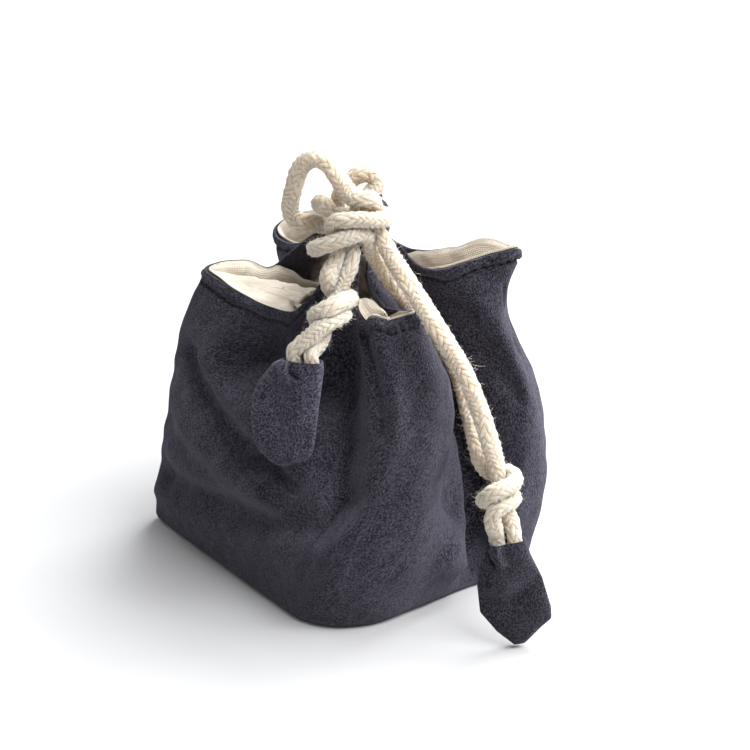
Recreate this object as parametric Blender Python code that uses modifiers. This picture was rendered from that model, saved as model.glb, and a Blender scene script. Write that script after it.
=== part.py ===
"""A kinchaku: a small square-bottomed pouch of lined cloth, gathered at its mouth.

Two braided cords run round the neck through four narrow cloth loops on the mouth edge. Each
cord has both its ends in one padded cloth tag, with a stopper knot above it, and the two
pairs of strands are crossed over each other in a soft knot in front of the neck.

Metres, +Z up. X and Y lie along the sides of the base, and the origin is the middle of the
underside. Points on the wall and the cords are given as (across, toward, up) in millimetres:
that frame is turned so that "toward" points out over the front corner of the base.
"""

import math

import bmesh
import bpy
import numpy as np
from mathutils import Vector

MM = 0.001

# Overall sizes of the base, and the direction of its front corner
BASE_LENGTH = 0.1024
BASE_DEPTH = 0.0820
CORNER_TURN = math.radians(53.46)
CORNER_RADII = {"front": 0.024, "right": 0.007, "back": 0.014, "left": 0.0035}
BOTTOM_ROUND = 0.0035

# Cloth
OUTER_CLOTH = 0.0009
LINING_CLOTH = 0.0006
CLOTH_GAP = 0.0004
LINING_DROP = 0.0010
PIECE_GAP = 0.0003

# Cords, and the rings that they make round the neck
CORD_DIAMETER = 0.0058
RING_SQUEEZE = 0.862
NECK_CENTRE = (0.0060, -0.0035)
RING_RADIUS = 0.0080
RING_HEIGHT = 0.1133
RING_TILT = 0.0013
RING_CLEARANCE = 0.0005

# Loops that carry the cords on the mouth edge
LOOP_WIDTH = 0.0036
LOOP_CLOTH = 0.0008
LOOP_CLEARANCE = 0.0008
LOOP_TURNS = {"front": 3, "right": 56, "back": 140, "left": 195}
LOOP_SEAT = 0.91

# Padded tags, and the pocket in the top of each that takes both ends of a cord
TAG_WIDTH = 0.0226
TAG_CLOTH = 0.0008
TAG_ROUND = 0.0024
CORD_END_SQUEEZE = 0.86
CORD_END_DEPTH = 0.0070
CORD_END_SPACING = 0.0004

# How finely the cloth is divided round the mouth
STEPS_ROUND = 92

# Heights up the wall, as shares of the height of the mouth, at which each row below is given
LEVELS = (0.0, 0.28, 0.55, 0.80, 1.0)

# The folds of the gathered wall, in order round the pouch: the place on the base outline
# (0 front corner, 1 right, 2 back, 3 left), the mouth height, and the points of the wall at the
# last four levels. Where a name stands for the height, the mouth carries that loop.
FOLDS = (
    (0.00, 96.5, (5, 58.5), (15, 51.5), (18, 42), (16, 34)),
    (0.30, 97.5, (27, 49), (32, 42), (32, 34.8), (25.5, 29.5)),
    (0.50, 95.5, (40, 34), (38.5, 28.5), (33, 24.5), (18, 22.5)),
    (0.60, 102.5, (42.5, 22), (37, 11), (26, 11), (10, 16.5)),
    (0.65, "right", (44, 16.5), (37.5, 6), (22, 3.5), (13.2, 2.6)),
    (0.70, 106.0, (47, 18), (40, 7.5), (28, 1.5), (19.5, -2.5)),
    (0.77, 101.8, (53, 22), (47.5, 14), (37, 8), (28, 8)),
    (0.87, 106.0, (61, 20.5), (60, 16), (51, 11), (43, 9.5)),
    (1.00, 109.5, (67.8, 10), (64.2, 7), (53.6, 5), (58.2, 6)),
    (1.15, 106.0, (60, -7), (60, -5), (51, -1), (41, -2)),
    (1.35, 103.0, (45, -20), (41, -17), (33, -12), (23, -8)),
    (1.50, "back", (32, -27), (27, -23), (20, -17), (12.4, -10.8)),
    (1.70, 103.0, (18, -42), (14, -38), (8, -33), (3, -28)),
    (1.88, 100.5, (9, -55), (4.5, -53), (-1, -49), (-5, -45)),
    (2.05, 94.5, (-6, -60.5), (-10, -57), (-16, -52), (-20.5, -47)),
    (2.25, 94.8, (-18, -52), (-21, -46), (-19, -37), (-13.6, -30)),
    (2.50, "left", (-30, -38), (-27, -31), (-14, -20), (3.4, -12.8)),
    (2.66, 94.5, (-42, -31), (-38, -26), (-28, -18), (-14.6, -12)),
    (2.82, 96.3, (-54, -25), (-49.5, -22), (-41, -17), (-29, -13)),
    (3.00, 97.0, (-58.4, -13.5), (-54.5, -12), (-50, -8), (-42, -5)),
    (3.18, 94.0, (-54, 1), (-49.5, 4), (-42, 7), (-30, 8)),
    (3.40, 93.0, (-38, 22), (-36, 23), (-28, 21), (-15.5, 20)),
    (3.58, 99.0, (-24, 39), (-22, 35), (-14, 26), (-5, 15.5)),
    (3.70, "front", (-14, 48.5), (-8, 38), (0, 22), (5.2, 6.2)),
    (3.84, 95.0, (-5, 57), (4, 49), (8, 38), (6.5, 27.5)),
)

# Shares of the wall's height at which a row of faces ends
ROWS = (0.0, 0.008, 0.02, 0.04, 0.12, 0.22, 0.32, 0.42, 0.52, 0.62, 0.72, 0.80, 0.87, 0.94, 1.0)
BOTTOM_RINGS = (0.75, 0.4)

# Routes of the cords: (across, toward, up, thickness as a share of the free cord). The word
# "ring" stands for the stretch round the neck, which is worked out.
LEFT_CORD = (
    (-4.7, 37.6, 91.0, 0.90), (-3.0, 33.4, 95.4, 0.86), (-1.2, 29.9, 98.9, 0.80),
    (0.5, 26.8, 102.6, 0.82),
    (2.3, 24.4, 106.2, 0.93), (4.3, 22.8, 110.0, 0.93), (5.2, 20.6, 114.0, 0.86),
    (5.0, 18.4, 117.8, 0.81), (5.1, 16.8, 121.4, 0.79), (6.0, 15.6, 125.0, 0.79),
    (7.8, 14.6, 128.0, 0.83), (10.2, 13.6, 130.4, 0.89), (12.3, 12.6, 132.3, 0.94),
    (12.9, 11.8, 134.2, 1.0), (11.6, 11.2, 135.7, 1.0), (9.4, 10.5, 136.0, 1.0),
    (6.2, 9.2, 134.4, 1.0), (3.4, 8.0, 131.2, 1.0), (1.4, 6.8, 127.4, 0.97),
    (0.7, 5.6, 123.8, 0.90), (2.0, 4.6, 120.9, 0.862), (4.2, 4.5, 120.1, 0.862),
    "ring",
    (-2.9, -1.6, 119.9, 0.90), (-4.0, 1.8, 121.8, 0.95), (-4.7, 5.6, 123.8, 1.0),
    (-4.2, 9.2, 125.4, 1.0), (-2.5, 12.0, 125.2, 0.91), (-0.6, 12.5, 123.5, 0.80),
    (2.4, 11.6, 122.9, 0.76), (6.5, 11.2, 122.9, 0.76), (10.5, 11.7, 123.3, 0.77),
    (14.0, 13.2, 124.0, 0.79), (16.1, 16.8, 124.6, 0.79), (15.5, 20.9, 125.2, 0.82),
    (12.0, 23.7, 126.0, 0.83), (8.0, 24.4, 126.5, 0.84), (4.0, 24.2, 126.2, 0.84),
    (0.8, 22.8, 125.4, 0.84), (-0.9, 21.0, 123.0, 0.81), (-0.4, 19.7, 119.8, 0.79),
    (0.4, 20.3, 116.4, 0.81), (0.9, 21.7, 113.2, 0.88), (-0.6, 23.2, 110.5, 0.95),
    (-1.9, 25.4, 107.8, 1.0), (-1.6, 25.3, 104.2, 0.90), (0.8, 22.3, 101.6, 0.84),
    (4.8, 23.8, 100.6, 0.84), (6.1, 28.7, 101.7, 0.88), (4.5, 33.2, 103.2, 0.92),
    (1.2, 37.0, 104.0, 0.93), (-3.0, 38.0, 102.8, 0.93), (-6.4, 35.5, 99.6, 0.90),
    (-7.2, 30.5, 96.3, 0.86), (-4.5, 27.6, 94.6, 0.83), (0.2, 28.0, 96.5, 0.83),
    (2.6, 33.0, 98.4, 0.86), (-0.6, 38.5, 99.0, 0.90), (-4.4, 40.4, 97.5, 0.93),
    (-8.2, 41.0, 94.0, 0.93),
)
RIGHT_CORD = (
    (54.3, 56.2, 38.4, 0.93), (53.1, 55.0, 41.6, 0.88),
    (51.3, 53.0, 46.7, 0.80), (50.0, 51.5, 52.2, 0.86), (49.0, 50.0, 57.3, 0.95),
    (47.5, 48.0, 62.1, 1.0), (45.5, 45.5, 68.1, 1.0), (42.8, 43.0, 75.1, 1.0),
    (39.4, 41.0, 82.9, 1.0), (35.1, 39.5, 90.4, 1.0), (29.2, 36.5, 99.1, 1.0),
    (24.1, 31.0, 105.3, 1.0), (20.4, 26.5, 109.6, 1.0), (17.3, 22.4, 113.2, 0.95),
    (15.3, 19.9, 116.2, 0.90), (13.8, 18.6, 119.4, 0.83), (11.7, 17.6, 122.8, 0.78),
    (10.9, 17.9, 126.3, 0.79), (12.1, 18.8, 129.1, 0.81), (11.4, 20.3, 131.1, 0.86),
    (8.7, 20.6, 131.6, 0.88), (5.8, 19.1, 131.5, 0.93), (3.4, 17.0, 133.2, 1.0),
    (1.1, 15.2, 136.0, 1.0), (-1.9, 12.7, 139.4, 1.0), (-6.2, 10.8, 141.1, 1.0),
    (-10.0, 9.2, 138.3, 1.0), (-11.9, 8.0, 134.1, 1.0), (-13.2, 7.0, 128.7, 1.0),
    (-14.2, 6.0, 123.6, 1.0), (-13.4, 5.0, 119.4, 1.0), (-10.3, 4.2, 117.2, 1.0),
    (-6.8, 2.9, 116.0, 0.97), (-3.9, 0.8, 114.3, 0.90), (-2.2, -2.6, 113.4, 0.862),
    "ring",
    (11.1, 5.6, 114.3, 0.83), (11.3, 9.2, 114.9, 0.83), (9.4, 12.2, 115.3, 0.83),
    (6.0, 13.3, 115.2, 0.80), (1.2, 13.5, 114.8, 0.81), (-3.4, 14.4, 114.0, 0.83),
    (-6.0, 17.0, 113.8, 0.86), (-6.1, 20.9, 115.2, 0.88), (-3.4, 24.0, 117.7, 0.86),
    (1.4, 25.3, 120.0, 0.84), (5.4, 24.8, 121.2, 0.84), (8.7, 22.5, 120.8, 0.83),
    (10.0, 19.8, 118.0, 0.81), (10.3, 17.8, 114.6, 0.83), (11.8, 16.6, 110.9, 0.90),
    (15.2, 17.2, 106.0, 0.95), (18.9, 17.0, 100.4, 0.95), (22.4, 15.9, 94.8, 0.95),
    (26.2, 14.6, 89.4, 0.95), (30.2, 13.8, 84.0, 0.95), (33.6, 14.1, 78.6, 0.95),
    (37.0, 16.3, 73.2, 0.95), (39.4, 20.4, 68.5, 0.95), (41.1, 26.0, 64.2, 1.0),
    (42.6, 32.6, 60.6, 1.0), (43.8, 39.4, 57.6, 1.0), (45.0, 45.2, 54.6, 0.95),
    (48.0, 48.0, 52.0, 0.90), (52.8, 49.0, 52.6, 0.86), (55.1, 53.0, 52.3, 0.86),
    (53.1, 58.0, 52.5, 0.90), (49.0, 60.0, 51.5, 0.93), (46.2, 57.0, 47.5, 0.90),
    (46.1, 51.5, 43.8, 0.86), (49.4, 48.5, 42.5, 0.83), (53.6, 50.5, 45.0, 0.83),
    (54.6, 55.0, 46.4, 0.86), (51.6, 60.0, 47.0, 0.90), (48.8, 61.0, 45.1, 0.90),
    (48.4, 60.0, 40.4, 0.93),
)
LEFT_RING = (4, 20, 38, 56, 79, 102, 121, 140, 160, 178, 195, 215, 238, 260)
RIGHT_RING = (-106, -126, -145, -165, -182, -200, -220, -240, -262, -284, -304, -318)
CORD_POINTS = 84

# Where each tag hangs: the middle of its top, the middle of its lower edge, which way its
# side runs, and how far its mouth is from the middle of its top
TAGS = {
    "left": ((-14.5, 40.5, 87.3), (-16.0, 47.3, 53.9), (1.0, 0.25, 0.0), 0.0048),
    "right": ((52.5, 58.2, 33.4), (57.0, 65.8, 1.2), (1.0, -0.1, 0.1), 0.0),
}
# Sides of a tag below its mouth: share of its half width, and of its length
TAG_OUTLINE = ((0.76, 0.08), (0.94, 0.24), (1.0, 0.46), (0.93, 0.70), (0.68, 0.90), (0.34, 0.995))


def turned(points):
    """Points given as (across, toward, up) in millimetres, as x, y, z in metres."""
    points = np.asarray(points, float) * MM
    across = np.array([math.cos(CORNER_TURN), math.sin(CORNER_TURN), 0.0])
    toward = np.array([math.sin(CORNER_TURN), -math.cos(CORNER_TURN), 0.0])
    flat = points[..., :1] * across + points[..., 1:2] * toward
    if points.shape[-1] == 3:
        flat = flat + points[..., 2:] * np.array([0.0, 0.0, 1.0])
    return flat


def periodic_spline(values, where):
    """Cubic spline through values at 0, 1, 2..., closed on itself, read at where."""
    count = len(values)
    system = 4 * np.eye(count) + np.roll(np.eye(count), 1, 0) + np.roll(np.eye(count), -1, 0)
    bend = 6 * (np.roll(values, -1, 0) - 2 * values + np.roll(values, 1, 0))
    moment = np.linalg.solve(system, bend.reshape(count, -1)).reshape(values.shape)
    left = np.floor(where).astype(int) % count
    right = (left + 1) % count
    share = (where - np.floor(where)).reshape((-1,) + (1,) * (values.ndim - 1))
    return (
        moment[left] * (1 - share) ** 3 / 6
        + moment[right] * share**3 / 6
        + (values[left] - moment[left] / 6) * (1 - share)
        + (values[right] - moment[right] / 6) * share
    )


def natural_spline(points, count):
    """The smooth curve through the points, read at count places, closer where it bends more."""
    steps = np.linalg.norm(np.diff(points[:, :3], axis=0), axis=1) ** 0.5
    knots = np.concatenate([[0.0], np.cumsum(steps)])
    gaps = np.diff(knots)[:, None]
    slopes = np.diff(points, axis=0) / gaps
    size = len(points)
    system = np.eye(size)
    for i in range(1, size - 1):
        system[i, i - 1 : i + 2] = (gaps[i - 1, 0], 2 * (gaps[i - 1, 0] + gaps[i, 0]), gaps[i, 0])
    bend = np.zeros_like(points)
    bend[1:-1] = 6 * np.diff(slopes, axis=0)
    moment = np.linalg.solve(system, bend)
    fine = np.linspace(0.0, knots[-1], 60 * size)
    left = np.clip(np.searchsorted(knots, fine, side="right") - 1, 0, size - 2)
    span = gaps[left]
    after = (knots[left + 1] - fine)[:, None]
    before = (fine - knots[left])[:, None]
    curve = (
        (moment[left] * after**3 + moment[left + 1] * before**3) / (6 * span)
        + (points[left] / span - moment[left] * span / 6) * after
        + (points[left + 1] / span - moment[left + 1] * span / 6) * before
    )
    chords = np.diff(curve[:, :3], axis=0)
    lengths = np.linalg.norm(chords, axis=1)
    turns = np.diff(chords / lengths[:, None], axis=0)
    bends = np.linalg.norm(turns, axis=1) / lengths[1:]
    bends = np.concatenate([bends[:1], bends])
    ease = 0.5 / lengths.sum()
    along = np.concatenate([[0.0], np.cumsum(lengths * np.sqrt(bends + ease * 10))])
    even = np.linspace(0.0, along[-1], count)
    return np.stack([np.interp(even, along, column) for column in curve.T], axis=1)


def base_outline(places):
    """Points of the base outline at places from 0 to 4: a rectangle with four round corners."""
    half_length, half_depth = BASE_LENGTH / 2, BASE_DEPTH / 2
    corners = {
        "front": (half_length, -half_depth),
        "right": (half_length, half_depth),
        "back": (-half_length, half_depth),
        "left": (-half_length, -half_depth),
    }
    names = list(corners)
    found = np.zeros((len(places), 2))
    for side in range(4):
        first, second = names[side], names[(side + 1) % 4]
        start, end = np.array(corners[first]), np.array(corners[second])
        length = np.linalg.norm(end - start)
        along = (end - start) / length
        outward = np.array([along[1], -along[0]])
        share = places % 4 - side
        for i in np.flatnonzero((share >= 0) & (share < 1)):
            from_start, from_end = share[i] * length, (1 - share[i]) * length
            for corner, inward, travelled, radius in (
                (start, along, from_start, CORNER_RADII[first]),
                (end, -along, from_end, CORNER_RADII[second]),
            ):
                if travelled < radius:
                    angle = math.pi / 4 * (1 - travelled / radius)
                    middle = corner + inward * radius - outward * radius
                    spoke = math.cos(angle) * outward - math.sin(angle) * inward
                    found[i] = middle + radius * spoke
                    break
            else:
                found[i] = start + along * from_start
    return found


def rise(offsets, shares):
    """Offsets of the wall at each share of its height, smooth through their values at LEVELS."""
    levels = np.array(LEVELS)
    gaps = np.diff(levels)
    slopes = np.diff(offsets, axis=0) / gaps[:, None, None]
    tangents = np.empty_like(offsets)
    tangents[0] = 1.25 * slopes[0]
    tangents[-1] = slopes[-1]
    for i in range(1, len(levels) - 1):
        whole = gaps[i - 1] + gaps[i]
        tangents[i] = (slopes[i - 1] * gaps[i] + slopes[i] * gaps[i - 1]) / whole
    left = np.clip(np.searchsorted(levels, shares, side="right") - 1, 0, len(levels) - 2)
    gap = gaps[left][:, None, None]
    s = ((shares - levels[left]) / gaps[left])[:, None, None]
    return (
        offsets[left] * (2 * s**3 - 3 * s**2 + 1)
        + tangents[left] * gap * (s**3 - 2 * s**2 + s)
        + offsets[left + 1] * (3 * s**2 - 2 * s**3)
        + tangents[left + 1] * gap * (s**3 - s**2)
    )


def mouth_height(given):
    """A fold's mouth height in metres: as given, or just below the loop that is named."""
    if given not in LOOP_TURNS:
        return given * MM
    foot = ring_point(LOOP_TURNS[given], 0.0)[2] * MM - LOOP_SEAT * loop_radii()[1]
    return foot - PIECE_GAP


def wall_rows():
    """Rows of points up the outside of the wall, each row once round the pouch."""
    count = len(FOLDS)
    place = np.array([fold[0] for fold in FOLDS])
    height = np.array([mouth_height(fold[1]) for fold in FOLDS])
    points = turned([fold[2:] for fold in FOLDS])[..., :2]
    offsets = points - base_outline(place)[:, None]
    offsets = np.concatenate([np.zeros((count, 1, 2)), offsets], axis=1)
    round_it = np.linspace(0, count, STEPS_ROUND, endpoint=False)
    offset = np.moveaxis(periodic_spline(offsets, round_it), 1, 0)
    mouth = periodic_spline(height, round_it)
    even = np.arange(count) * 4 / count
    base = base_outline(periodic_spline(place - even, round_it) + round_it * 4 / count)
    shares = np.array(ROWS)
    flat = base[None] + rise(offset, shares)
    up = shares[:, None] * mouth[None]
    chord = np.roll(flat, -1, axis=1) - np.roll(flat, 1, axis=1)
    outward = np.stack([chord[..., 1], -chord[..., 0]], axis=-1)
    outward /= np.linalg.norm(outward, axis=-1, keepdims=True)
    below = np.clip(BOTTOM_ROUND - up, 0, BOTTOM_ROUND)
    drawn_in = BOTTOM_ROUND - np.sqrt(BOTTOM_ROUND**2 - below**2)
    flat = flat - outward * drawn_in[..., None]
    return np.concatenate([flat, up[..., None]], axis=-1)


def bag_surface():
    """The outside of the bag as a mesh: the wall, and the flat bottom in rings to its middle."""
    rows = wall_rows()
    middle = rows[0].mean(axis=0)
    rings = [middle + (rows[0] - middle) * share for share in reversed(BOTTOM_RINGS)]
    rows = np.concatenate([np.stack(rings), rows])
    mesh = bmesh.new()
    grid = [[mesh.verts.new(point) for point in row] for row in rows]
    centre = mesh.verts.new(middle)
    for i in range(STEPS_ROUND):
        j = (i + 1) % STEPS_ROUND
        mesh.faces.new((centre, grid[0][j], grid[0][i]))
        for low, high in zip(grid, grid[1:]):
            mesh.faces.new((low[i], low[j], high[j], high[i]))
    mesh.normal_update()
    return mesh


def collection_named(name, hidden=False):
    found = bpy.data.collections.new(name)
    bpy.context.scene.collection.children.link(found)
    found.hide_render = hidden
    return found


def material_named(name, colour, roughness):
    material = bpy.data.materials.new(name)
    material.use_nodes = True
    shader = material.node_tree.nodes["Principled BSDF"]
    shader.inputs["Base Color"].default_value = (*colour, 1.0)
    shader.inputs["Roughness"].default_value = roughness
    shader.inputs["Metallic"].default_value = 0.0
    material.diffuse_color = (*colour, 1.0)
    return material


def object_of(name, mesh, material):
    data = bpy.data.meshes.new(name)
    mesh.to_mesh(data)
    mesh.free()
    data.shade_smooth()
    data.materials.append(material)
    piece = bpy.data.objects.new(name, data)
    pouch.objects.link(piece)
    return piece


def solidify(piece, thickness):
    """Gives an open surface its thickness, on the side away from its normals."""
    shell = piece.modifiers.new("Cloth", "SOLIDIFY")
    shell.thickness = thickness
    shell.offset = -1.0


def make_outer_shell(material):
    solidify(object_of("outer_shell", bag_surface(), material), OUTER_CLOTH)


def make_lining(material):
    """The inner bag: the outer one's surface moved in past its cloth, and a little lower."""
    mesh = bag_surface()
    inward = OUTER_CLOTH + CLOTH_GAP
    moved = [(vert, vert.co - vert.normal * inward) for vert in mesh.verts]
    for vert, place in moved:
        vert.co = place
    for edge in [edge for edge in mesh.edges if edge.is_wire or edge.is_boundary]:
        for vert in edge.verts:
            vert.tag = True
    for vert in [vert for vert in mesh.verts if vert.tag]:
        below = min((edge.other_vert(vert) for edge in vert.link_edges), key=lambda v: v.co.z)
        vert.co += (below.co - vert.co).normalized() * LINING_DROP
    mesh.normal_update()
    solidify(object_of("lining", mesh, material), LINING_CLOTH)


def ring_point(turn, lift):
    """A point of a cord's ring round the neck. The rings dip a little behind."""
    angle = math.radians(turn)
    across = NECK_CENTRE[0] + RING_RADIUS * math.sin(angle)
    toward = NECK_CENTRE[1] + RING_RADIUS * math.cos(angle)
    up = RING_HEIGHT + RING_TILT * math.cos(angle) + lift
    return (across / MM, toward / MM, up / MM, RING_SQUEEZE)


def ring_step():
    """How far the upper cord's ring lies above the lower cord's."""
    return CORD_DIAMETER * RING_SQUEEZE + RING_CLEARANCE


def tag_frame(side):
    """The middle of a tag's top, its directions down, sideways and out, and its length."""
    top, tip, sideways = (Vector(turned(point)) for point in TAGS[side][:3])
    down = (tip - top).normalized()
    sideways = (sideways - down * sideways.dot(down)).normalized()
    outward = down.cross(sideways)
    return top, down, sideways, outward, (tip - top).length


def cord_end_radius():
    return CORD_DIAMETER * CORD_END_SQUEEZE / 2


def cord_end(side, turn):
    """A cord's end in a tag: its point in the pocket, in the mouth and just above it."""
    top, down, sideways, _, _ = tag_frame(side)
    across = TAGS[side][3] + turn * (cord_end_radius() + CORD_END_SPACING / 2)
    lip = top + sideways * across
    places = [lip + down * CORD_END_DEPTH, lip, lip - down * cord_end_radius()]
    return [(*place, CORD_END_SQUEEZE) for place in places]


def make_cord(name, route, tag, turns, lift, material):
    """A tube along the smooth curve through the route, thinner where it is squeezed."""
    steps = []
    for step in route:
        if step == "ring":
            steps += [ring_point(turn, lift) for turn in turns]
        else:
            steps.append(step)
    steps = np.array(steps, float)
    points = np.concatenate([turned(steps[:, :3]), steps[:, 3:]], axis=1)
    points = np.concatenate([cord_end(tag, 1), points, cord_end(tag, -1)[::-1]])
    curve = natural_spline(points, CORD_POINTS)
    places = curve[:, :3]
    data = bpy.data.curves.new(name, "CURVE")
    data.dimensions = "3D"
    data.bevel_depth = CORD_DIAMETER / 2
    data.bevel_resolution = 2
    data.use_fill_caps = True
    spline = data.splines.new("POLY")
    spline.points.add(len(places) - 1)
    for point, place, share in zip(spline.points, places, curve[:, 3]):
        point.co = (*place, 1.0)
        point.radius = share
    spline.use_smooth = True
    data.materials.append(material)
    pouch.objects.link(bpy.data.objects.new(name, data))


def loop_radii():
    """Inner and outer radius of a loop's rounded ends."""
    inner = CORD_DIAMETER * RING_SQUEEZE / 2 + LOOP_CLEARANCE
    return inner, inner + LOOP_CLOTH


def make_loop(name, turn, material):
    """A flat closed band round both cords, standing on the mouth edge across the ring."""
    angle = math.radians(turn)
    inner, outer = loop_radii()
    half_step = ring_step() / 2
    arcs = 6
    outline = []
    for i in range(arcs + 1):
        outline.append((math.pi * i / arcs, half_step))
    for i in range(arcs + 1):
        outline.append((math.pi + math.pi * i / arcs, -half_step))
    x, y, z, _ = ring_point(turn, half_step)
    middle = Vector(turned((x, y, z)))
    outward = Vector(turned((math.sin(angle), math.cos(angle), 0.0))).normalized()
    sideways = outward.cross(Vector((0.0, 0.0, 1.0)))
    mesh = bmesh.new()
    rails = []
    for radius, side in ((inner, -1), (inner, 1), (outer, 1), (outer, -1)):
        rail = []
        for spoke, lift in outline:
            place = middle + sideways * (side * LOOP_WIDTH / 2)
            place += outward * (radius * math.cos(spoke))
            place += Vector((0.0, 0.0, radius * math.sin(spoke) + lift))
            rail.append(mesh.verts.new(place))
        rails.append(rail)
    count = len(outline)
    for first, second in zip(rails, rails[1:] + rails[:1]):
        for i in range(count):
            j = (i + 1) % count
            mesh.faces.new((first[i], first[j], second[j], second[i]))
    bmesh.ops.recalc_face_normals(mesh, faces=mesh.faces)
    object_of(name, mesh, material)


def tag_pocket(name, side):
    """The room for the two cord ends: a slot with round sides, down from above the mouth."""
    top, down, sideways, outward, _ = tag_frame(side)
    radius = cord_end_radius() + PIECE_GAP
    reach = cord_end_radius() + CORD_END_SPACING / 2
    mesh = bmesh.new()
    rows = []
    for fall in (-TAG_ROUND, CORD_END_DEPTH + PIECE_GAP):
        middle = top + sideways * TAGS[side][3] + down * fall
        row = []
        for half, start in ((reach, -90), (-reach, 90)):
            for i in range(9):
                angle = math.radians(start + 180 * i / 8)
                place = middle + sideways * (half + radius * math.cos(angle))
                row.append(mesh.verts.new(place + outward * (radius * math.sin(angle))))
        rows.append(row)
        mesh.faces.new(row)
    count = len(rows[0])
    for i in range(count):
        j = (i + 1) % count
        mesh.faces.new((rows[0][i], rows[0][j], rows[1][j], rows[1][i]))
    bmesh.ops.recalc_face_normals(mesh, faces=mesh.faces)
    data = bpy.data.meshes.new(name)
    mesh.to_mesh(data)
    mesh.free()
    cutter = bpy.data.objects.new(name, data)
    cutters.objects.link(cutter)
    cutter.hide_render = True
    cutter.display_type = "WIRE"
    return cutter


def make_tag(name, side, material):
    """A padded tag: a soft outline with rounded rims, and a pocket for the cord's ends."""
    top, down, sideways, outward, length = tag_frame(side)
    pocket_half = 2 * cord_end_radius() + CORD_END_SPACING / 2 + PIECE_GAP
    thickness = 2 * (cord_end_radius() + PIECE_GAP + TAG_CLOTH)
    shift = TAGS[side][3]
    mouth_half = pocket_half + TAG_CLOTH
    right = [(shift + mouth_half, 0.0)]
    left = [(shift - mouth_half, 0.0)]
    for share, fall in TAG_OUTLINE:
        right.append((share * TAG_WIDTH / 2, fall * length))
        left.append((-share * TAG_WIDTH / 2, fall * length))
    outline = natural_spline(np.array(right + left[::-1]), 30)
    mesh = bmesh.new()
    corners = []
    for across, fall in outline:
        point = top + sideways * across + down * fall - outward * thickness / 2
        corners.append(mesh.verts.new(point))
    face = mesh.faces.new(corners)
    made = bmesh.ops.extrude_face_region(mesh, geom=[face])["geom"]
    for vert in made:
        if isinstance(vert, bmesh.types.BMVert):
            vert.co += outward * thickness
    bmesh.ops.recalc_face_normals(mesh, faces=mesh.faces)
    tag = object_of(name, mesh, material)
    rounding = tag.modifiers.new("Rounding", "BEVEL")
    rounding.width = min(TAG_ROUND, thickness * 0.45)
    rounding.segments = 3
    rounding.limit_method = "ANGLE"
    rounding.angle_limit = math.radians(40)
    cut = tag.modifiers.new("Pocket", "BOOLEAN")
    cut.operation = "DIFFERENCE"
    cut.solver = "EXACT"
    cut.object = tag_pocket(f"{name}_pocket", side)


for old in list(bpy.data.objects):
    bpy.data.objects.remove(old, do_unlink=True)
pouch = collection_named("kinchaku_pouch")
cutters = collection_named("kinchaku_cutters", hidden=True)

navy = material_named("brushed_navy_cotton", (0.052, 0.052, 0.068), 0.95)
cream = material_named("cream_linen", (0.72, 0.65, 0.55), 0.9)
braid = material_named("cream_braided_cotton", (0.80, 0.72, 0.61), 0.85)

make_outer_shell(navy)
make_lining(cream)
make_cord("cord_left", LEFT_CORD, "left", LEFT_RING, ring_step(), braid)
make_cord("cord_right", RIGHT_CORD, "right", RIGHT_RING, 0.0, braid)
for side, turn in LOOP_TURNS.items():
    make_loop(f"cord_loop_{side}", turn, navy)
for side in TAGS:
    make_tag(f"tab_{side}", side, navy)
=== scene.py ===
"""The looks of a kinchaku: a small lined cloth pouch, gathered by two braided cords.

It is put together in the order of the real one: the sewn outer bag, its lining, the loops on
the mouth edge, the cords that run through them, and the padded tags on the cords' ends.
"""

import math

import bpy
import numpy as np
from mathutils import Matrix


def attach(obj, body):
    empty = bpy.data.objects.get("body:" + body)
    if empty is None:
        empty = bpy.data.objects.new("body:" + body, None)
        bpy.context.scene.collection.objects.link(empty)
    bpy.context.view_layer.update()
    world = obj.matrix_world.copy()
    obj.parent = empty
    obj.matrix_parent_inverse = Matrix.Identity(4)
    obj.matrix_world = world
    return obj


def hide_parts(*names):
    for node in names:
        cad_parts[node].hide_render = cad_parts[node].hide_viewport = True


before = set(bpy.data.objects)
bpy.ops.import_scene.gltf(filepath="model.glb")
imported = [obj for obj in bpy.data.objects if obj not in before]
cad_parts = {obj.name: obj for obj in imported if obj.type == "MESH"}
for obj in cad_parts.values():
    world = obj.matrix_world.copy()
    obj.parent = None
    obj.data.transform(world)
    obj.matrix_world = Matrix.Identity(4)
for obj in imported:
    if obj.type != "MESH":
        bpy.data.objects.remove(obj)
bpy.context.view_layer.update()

# The pouch stands on a pale studio table, one base corner toward the camera, and is looked
# down on from a little above. A long lens keeps its sides nearly parallel.
MM = 0.001
TURN = math.radians(53.46)
LOOK_DOWN = math.radians(26.0)
CAMERA_DISTANCE = 0.900
LENS = 130.5
AIM = np.array([-0.0091, 0.0219, 0.0520])


def aimed(name, data, turn, height, distance):
    """An object that looks at AIM, from angles in radians round the pouch and up."""
    away = np.array(
        [math.sin(turn) * math.cos(height), -math.cos(turn) * math.cos(height), math.sin(height)]
    )
    thing = bpy.data.objects.new(name, data)
    thing.location = AIM + away * distance
    thing.rotation_euler = (math.pi / 2 - height, 0.0, turn)
    bpy.context.scene.collection.objects.link(thing)
    return thing


lens = bpy.data.cameras.new("photo_camera")
lens.lens = LENS
lens.sensor_width = 36.0
lens.clip_start = 0.05
bpy.context.scene.camera = aimed("photo_camera", lens, TURN, LOOK_DOWN, CAMERA_DISTANCE)


# The studio: a seamless pale table in an even white room, under four large soft lights: from
# behind on the right, from the right, from the front on the right, and a weak one on the left.
FLOOR_COLOUR = (0.525, 0.528, 0.537)
FLOOR_CORNERS = ((-3, -3, 0), (3, -3, 0), (3, 3, 0), (-3, 3, 0))
LIGHT_DISTANCE = 1.2
LIGHT_SIZE = 0.7
ROOM_STRENGTH = 0.28


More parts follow.
